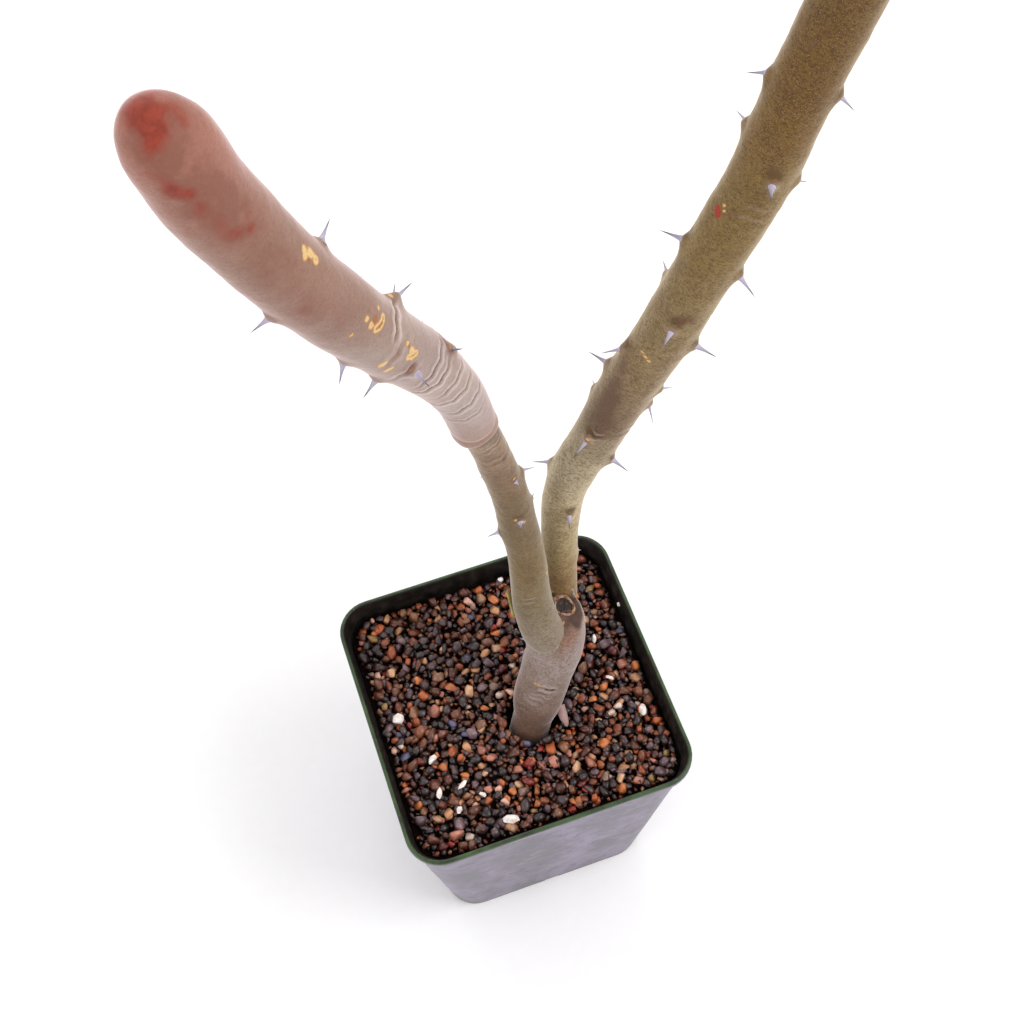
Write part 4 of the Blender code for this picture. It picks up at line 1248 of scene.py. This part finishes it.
# Small parts of the trunk
def seam_line(upper, lower, sides=96):
    """Points where the skin of one stem leaves the skin of another, in order round it."""
    middle, facing = np.array(CUT_MIDDLE), np.array(CUT_FACING) / np.linalg.norm(CUT_FACING)
    line = []
    for angle in np.linspace(0.0, 2.0 * math.pi, sides, endpoint=False):
        outward = upper.side * math.cos(angle) + upper.back * math.sin(angle)
        points = upper.centre + outward * upper.radius[:, None]
        away = np.linalg.norm(points[:, None, :] - lower.centre[None, :, :], axis=2)
        gap = away.min(axis=1) - lower.radius[away.argmin(axis=1)]
        inside = np.flatnonzero(gap[:len(gap) // 2] < 0.0)
        if len(inside) and (points[inside[-1]] - middle) @ facing < 0.0:
            at, over = inside[-1], gap[inside[-1]:inside[-1] + 2]
            share = -over[0] / (over[1] - over[0])
            line.append((angle, points[at] + (points[at + 1] - points[at]) * share))
    turns = [angle for angle, _ in line]
    steps = [(turns[(k + 1) % len(turns)] - turns[k]) % (2.0 * math.pi) for k in range(len(turns))]
    start = (int(np.argmax(steps)) + 1) % len(line)
    return [point for _, point in line[start:] + line[:start]]


def bead_tree():
    """A thin rounded bead along a line, as thick as the line's girth at each point."""
    made, source, target = new_geometry_tree("alluaudia_bead", (
        ("Radius", "Float"), ("Sides", "Int"), ("Material", "Material")))
    line = made.add("GeometryNodeMeshToCurve", {"Mesh": source["Geometry"]}).outputs[0]
    ring = made.add("GeometryNodeCurvePrimitiveCircle",
                    {"Resolution": source["Sides"], "Radius": source["Radius"]}).outputs[0]
    bead = made.add("GeometryNodeCurveToMesh", {
        "Curve": line, "Profile Curve": ring, "Scale": made.named("girth"),
        "Fill Caps": True}).outputs[0]
    whole = made.add("GeometryNodeRealizeInstances", {0: bead}).outputs[0]
    return close_tree(made, source, target, whole)


def build_seam(name, upper, seed, slot):
    """The pale callus where a stem grows out of the trunk."""
    line = seam_line(upper, stem_named("trunk", 0.5))
    points = [tuple(point) for point in line]
    piece = mesh_piece(name, points, [], smooth=False)
    mesh = piece.data
    mesh.edges.add(len(points) - 1)
    mesh.edges.foreach_set("vertices", [v for k in range(len(points) - 1) for v in (k, k + 1)])
    mesh.update()
    girths = []
    for k, point in enumerate(points):
        end = min(k, len(points) - 1 - k)
        uneven = 1.0 + 0.3 * noise.noise(Vector(point) * 0.7 + Vector((seed, 0, 0)))
        girths.append(min(1.0, (end + 0.4) / 7.0) * uneven)
    store_marks(piece, "girth", girths)
    made = Finish("callus_" + name, 0.66, Sheen_Weight=0.4, Sheen_Roughness=0.3)
    grain = made.noise(0.001, 4.0, roughness=0.65)
    colour = made.paint(srgb(166, 150, 138), srgb(112, 94, 80), grain, 0.42, 0.64)
    made.raise_by(grain, 0.00015, 0.5)
    material = made.done(colour)
    run_tree(piece, bead_tree(), {"Radius": SEAM_RADIUS * MM, "Sides": 12, "Material": material})
    return give(piece, material, slot)


def nub(name, base, tip, width, flat=1.0, seed=1, rings=12, sides=20):
    """A small rounded bud or stub from a base to a tip."""
    base, tip = Vector(base), Vector(tip)
    along = (tip - base).normalized()
    side = along.orthogonal().normalized()
    back = along.cross(side)
    points = []
    for ring in range(rings):
        share = ring / (rings - 1)
        girth = width * (1.0 - 0.25 * share) * math.sqrt(max(0.0, 1.0 - share ** 4))
        here = base.lerp(tip, share)
        for k in range(sides):
            angle = math.tau * k / sides
            way = side * math.cos(angle) + back * math.sin(angle) * flat
            swell = 1.0 + 0.12 * noise.noise(here * 0.6 + way * 1.5 + Vector((seed, 0, 0)))
            points.append(here + way * max(girth * swell, 0.01))
    faces = loop_faces(rings, sides)
    faces.append(tuple(reversed(range(sides))))
    faces.append(tuple(range((rings - 1) * sides, rings * sides)))
    return mesh_piece(name, points, faces)


def cut_point(reach, angle):
    """A point of the cut face in its own plane, with its rise over it."""
    wide = reach * (1.02 + 0.10 * math.cos(2 * (angle - CUT_TURN)) + 0.06 * math.sin(3 * angle))
    flat = Vector((wide * math.cos(angle), wide * math.sin(angle), 0.0))
    lumpy = 1.0 + 0.5 * noise.noise(Vector((math.cos(angle), math.sin(angle), 0.4)) * 2.6)
    callus = 0.75 * lumpy * math.exp(-((reach - CALLUS_CREST) / 0.4) ** 2)
    if reach < PITH_EDGE:
        bumpy = noise.noise(flat * 1.7 + Vector((3, 1, 4)))
        return flat, max(callus, 0.2 + 0.55 * max(0.0, bumpy))
    return flat, callus - 1.1 * max(0.0, reach - 2.9)


def build_cut_face():
    """The trunk's old cut: a sunken disc of dark pith inside a pale callus ring."""
    centre, facing = Vector(CUT_MIDDLE), Vector(CUT_FACING).normalized()
    side = facing.orthogonal().normalized()
    back = facing.cross(side)
    sides, last = CUT_SIDES, (len(CUT_RINGS) - 1) * CUT_SIDES
    points, pith = [], []
    for reach in CUT_RINGS:
        for k in range(sides):
            flat, rise = cut_point(reach, math.tau * k / sides)
            points.append(centre + side * flat.x + back * flat.y + facing * rise)
            pith.append(1.0 if reach < PITH_EDGE else 0.0)
    points += [centre + facing * -0.2, centre - facing * 2.2]
    pith += [1.0, 0.0]
    faces = [(a, d, c, b) for a, b, c, d in loop_faces(len(CUT_RINGS), sides)]
    for k in range(sides):
        n = (k + 1) % sides
        faces.append((len(points) - 2, k, n))
        faces.append((len(points) - 1, last + n, last + k))
    piece = mesh_piece("trunk_cut_face", points, faces)
    store_marks(piece, "pith", pith)
    made = Finish("dry_cut_face", 0.7)
    grain = made.noise(0.0012, 4.0, roughness=0.7)
    rim = made.paint(srgb(186, 150, 118), srgb(96, 58, 36), grain, 0.42, 0.62)
    dark = made.paint(srgb(26, 9, 9), srgb(104, 68, 52), grain, 0.52, 0.66)
    colour = made.mix(made.mark("pith").outputs["Fac"], rim, dark)
    made.raise_by(grain, 0.0003, 0.8)
    return give(piece, made.done(colour, made.spread(grain, 0.3, 0.7, 0.5, 0.8)), "trunk")


def build_leaf_bud():
    """The small yellow-green bud behind the left stem's foot."""
    base, tip, radius = LEAF_BUD
    bud = nub("leaf_bud", base, tip, radius, 0.5, 9)
    made = Finish("leaf_bud_skin", 0.5, Sheen_Weight=0.15)
    blush = made.noise(0.0016, 3.0)
    colour = made.paint(srgb(136, 132, 58), srgb(170, 156, 92), blush, 0.4, 0.65)
    made.raise_by(blush, 0.0002, 0.3)
    return give(bud, made.done(colour), "left_stem")


# Operators
class ALLUAUDIA_OT_pot(Operator):
    """Build the square nursery pot with its rim, drain holes and notches"""

    bl_idname = "alluaudia.pot"
    bl_label = "Pot"

    def execute(self, context):
        pot = build_pot(context.scene.alluaudia_pot)
        give(pot, None, "pot", "pot")
        return {"FINISHED"}


class ALLUAUDIA_OT_potting_mix(Operator):
    """Give the potting mix its peat finish"""

    bl_idname = "alluaudia.potting_mix"
    bl_label = "Potting Mix"

    def execute(self, context):
        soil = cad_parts["potting_mix"]
        soil.data.materials.clear()
        soil.data.materials.append(mix_material(context.scene.alluaudia_gravel))
        return {"FINISHED"}


class ALLUAUDIA_OT_gravel(Operator):
    """Lay the dark bed and scatter the stones over it"""

    bl_idname = "alluaudia.gravel"
    bl_label = "Gravel"

    def execute(self, context):
        settings = context.scene.alluaudia_gravel
        build_bed(settings)
        build_stones(settings)
        build_white_stones()
        return {"FINISHED"}


class ALLUAUDIA_OT_trunk(Operator):
    """Build the old trunk with its cut face, stub and creases"""

    bl_idname = "alluaudia.trunk"
    bl_label = "Trunk"

    def execute(self, context):
        settings = context.scene.alluaudia_stems
        stem = stem_named("trunk", settings.ring_step / MM)
        piece = skin("trunk_bark", stem, 96, TRUNK_SPINES, TRUNK_MARKS, TRUNK_CREASES,
                     settings.mound / MM * 0.5, 3, foot=(91.0, 1.6, 8.0), cut=(CUT_MIDDLE, CUT_FACING))
        finish = bark("trunk_old_bark", (
            (78, (33, 8, 5)), (84, (94, 60, 42)), (92, (118, 92, 80)), (100, (144, 127, 120)),
            (108, (156, 142, 140)), (114, (136, 104, 90)), (120, (80, 42, 20))),
            edge=(1.0, 0.88, 0.86), sheen=1.0, stain_and_shade=(54, 32, 18))
        give(piece, finish, "trunk", "trunk")
        build_cut_face()
        base, tip, radius = STUB
        stub = nub("trunk_stub", base, tip, radius, 0.9, 4)
        give(stub, bark("stub_bark", ((79, (120, 88, 84)), (86, (168, 136, 132)))), "trunk")
        step = settings.ring_step / MM
        build_seam("left_stem_callus", stem_named("left", step), 2, "left_stem")
        build_seam("right_stem_callus", stem_named("right", step), 5, "right_stem")
        return {"FINISHED"}


class ALLUAUDIA_OT_left_stem(Operator):
    """Build the left stem: its old growth, leaf bud and thick new growth"""

    bl_idname = "alluaudia.left_stem"
    bl_label = "Left Stem"

    def execute(self, context):
        settings = context.scene.alluaudia_stems
        mound = settings.mound / MM
        stem = stem_named("left", settings.ring_step / MM)
        old = skin("left_stem_bark", stem, 64, LEFT_STEM_SPINES, LEFT_STEM_MARKS,
                   LEFT_STEM_CREASES, mound * 0.7, 11)
        finish = bark("left_old_bark", (
            (108, (149, 137, 123)), (120, (135, 119, 102)), (134, (119, 104, 76)), (146, (118, 98, 58)),
            (160, (108, 85, 50)), (176, (111, 88, 52)), (190, (116, 87, 56)), (204, (137, 108, 83)),
            (212, (90, 60, 44))), edge=(0.94, 0.86, 0.76))
        give(old, finish, "left_stem", "left_stem")
        stem = stem_named("new", settings.ring_step / MM)
        new = skin("left_stem_new_bark", stem, 80, NEW_GROWTH_SPINES, NEW_GROWTH_MARKS,
                   NEW_GROWTH_CREASES, mound * 0.8, 17, lip=True, rough=0.7)
        finish = bark("new_growth_skin", (
            (210, (150, 120, 106)), (228, (161, 144, 140)), (240, (163, 143, 133)),
            (252, (151, 130, 123)), (266, (155, 135, 124)), (280, (138, 106, 92)),
            (294, (141, 106, 90)), (308, (140, 104, 88)), (320, (152, 108, 94)),
            (330, (158, 104, 88)), (337, (160, 98, 80))),
            depth=0.06, roughness=0.58, edge=(1.0, 0.84, 0.82), sheen=1.0, mottle=0.25,
            spine_shade=(118, 84, 72), stain_and_shade=(122, 34, 6), wound=(150, 86, 40), bruise=(122, 74, 58),
            contrast=0.35)
        give(new, finish, "new_growth", "left_stem_new_growth")
        build_leaf_bud()
        return {"FINISHED"}


class ALLUAUDIA_OT_right_stem(Operator):
    """Build the long right stem"""

    bl_idname = "alluaudia.right_stem"
    bl_label = "Right Stem"

    def execute(self, context):
        settings = context.scene.alluaudia_stems
        stem = stem_named("right", 1.3 * settings.ring_step / MM)
        piece = skin("right_stem_bark", stem, 88, RIGHT_SPINES, RIGHT_MARKS, RIGHT_CREASES,
                     settings.mound / MM, 23)
        finish = bark("olive_bark", (
            (112, (118, 86, 42)), (124, (136, 106, 58)), (140, (163, 147, 107)), (156, (191, 175, 143)),
            (170, (178, 166, 140)), (184, (116, 94, 70)), (196, (132, 110, 83)), (208, (139, 117, 84)),
            (222, (137, 116, 78)), (240, (127, 103, 54)), (258, (124, 98, 46)), (276, (114, 82, 20)),
            (292, (106, 74, 10)), (318, (108, 78, 24)), (336, (128, 78, 44)), (343, (134, 64, 36))),
            edge=(0.94, 0.80, 0.60), contrast=1.25)
        give(piece, finish, "right_stem", "right_stem")
        return {"FINISHED"}


class ALLUAUDIA_OT_spines(Operator):
    """Stand the spines on the trunk and the stems"""

    bl_idname = "alluaudia.spines"
    bl_label = "Spines"

    def execute(self, context):
        settings = context.scene.alluaudia_spines
        step = context.scene.alluaudia_stems.ring_step / MM
        tree = spine_tree()
        material = spine_material(settings)
        for name, which, spines, slot in (
                ("trunk_spines", "trunk", TRUNK_SPINES, "trunk"),
                ("left_stem_spines", "left", LEFT_STEM_SPINES, "left_stem"),
                ("new_growth_spines", "new", NEW_GROWTH_SPINES, "new_growth"),
                ("right_stem_spines", "right", RIGHT_SPINES, "right_stem")):
            piece = spine_points(name, stem_named(which, step), spines, settings)
            run_tree(piece, tree, {
                "Base Radius": settings.base_radius, "Bend": settings.bend, "Sides": settings.sides,
                "Rings": settings.rings, "Material": material})
            give(piece, material, slot)
        return {"FINISHED"}


class ALLUAUDIA_OT_stage(Operator):
    """Set the pale floor, the soft studio light and the camera"""

    bl_idname = "alluaudia.stage"
    bl_label = "Stage"

    def execute(self, context):
        settings = context.scene.alluaudia_stage
        half = settings.floor_size / 2.0 / MM
        corners = [(-half, -half, 0), (half, -half, 0), (half, half, 0), (-half, half, 0)]
        floor = mesh_piece("floor", corners, [(0, 1, 2, 3)])
        paper = Finish("pale_paper", 0.9)
        grain = paper.noise(0.004, 3.0)
        shade = tuple(settings.floor_colour)
        colour = paper.paint(shade, tuple(c * 0.985 for c in shade), grain, 0.3, 0.7)
        floor.data.materials.append(paper.done(colour))
        sky = bpy.data.worlds.new("studio")
        context.scene.world = sky
        sky.use_nodes = True
        back = sky.node_tree.nodes["Background"]
        back.inputs["Color"].default_value = (1.0, 0.985, 0.99, 1.0)
        back.inputs["Strength"].default_value = settings.sky
        for name, place, size, share in SOFTBOXES:
            light = bpy.data.lights.new(name, "AREA")
            light.energy, light.size = settings.key * share, size
            lamp = linked(name, light)
            lamp.location = place
            aim = Vector(LIGHT_AIM) - Vector(place)
            lamp.rotation_euler = aim.to_track_quat("-Z", "Y").to_euler()
        lens = bpy.data.cameras.new("camera")
        lens.lens, lens.sensor_width, lens.clip_start = settings.lens, 36.0, 0.01
        camera = linked("camera", lens)
        camera.location = CAMERA_PLACE
        camera.rotation_euler = tuple(math.radians(angle) for angle in CAMERA_TURN)
        context.scene.camera = camera
        context.scene.view_settings.view_transform = "Standard"
        return {"FINISHED"}


class ALLUAUDIA_PT_panel(Panel):
    """Lists the steps that build the potted alluaudia"""

    bl_idname = "ALLUAUDIA_PT_panel"
    bl_label = "Potted Alluaudia"
    bl_space_type = "VIEW_3D"
    bl_region_type = "UI"
    bl_category = "Alluaudia"

    def draw(self, context):
        for step in STEPS:
            self.layout.operator(step.bl_idname)
        for group in SETTINGS:
            box = self.layout.box()
            settings = getattr(context.scene, group)
            for name in settings.bl_rna.properties.keys():
                if name not in {"rna_type", "name"}:
                    box.prop(settings, name)


SETTINGS = {
    "alluaudia_pot": PotSettings,
    "alluaudia_gravel": GravelSettings,
    "alluaudia_stems": StemSettings,
    "alluaudia_spines": SpineSettings,
    "alluaudia_stage": StageSettings,
}
STEPS = (
    ALLUAUDIA_OT_pot,
    ALLUAUDIA_OT_potting_mix,
    ALLUAUDIA_OT_gravel,
    ALLUAUDIA_OT_trunk,
    ALLUAUDIA_OT_left_stem,
    ALLUAUDIA_OT_right_stem,
    ALLUAUDIA_OT_spines,
    ALLUAUDIA_OT_stage,
)


def register():
    for name, group in SETTINGS.items():
        bpy.utils.register_class(group)
        setattr(bpy.types.Scene, name, PointerProperty(type=group))
    for step in STEPS:
        bpy.utils.register_class(step)
    bpy.utils.register_class(ALLUAUDIA_PT_panel)


def unregister():
    bpy.utils.unregister_class(ALLUAUDIA_PT_panel)
    for step in reversed(STEPS):
        bpy.utils.unregister_class(step)
    for name, group in reversed(SETTINGS.items()):
        delattr(bpy.types.Scene, name)
        bpy.utils.unregister_class(group)


def main():
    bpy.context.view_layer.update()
    register()
    bpy.ops.alluaudia.pot()
    bpy.ops.alluaudia.potting_mix()
    bpy.ops.alluaudia.gravel()
    bpy.ops.alluaudia.trunk()
    bpy.ops.alluaudia.left_stem()
    bpy.ops.alluaudia.right_stem()
    bpy.ops.alluaudia.spines()
    bpy.ops.alluaudia.stage()


if __name__ == "__main__":
    main()
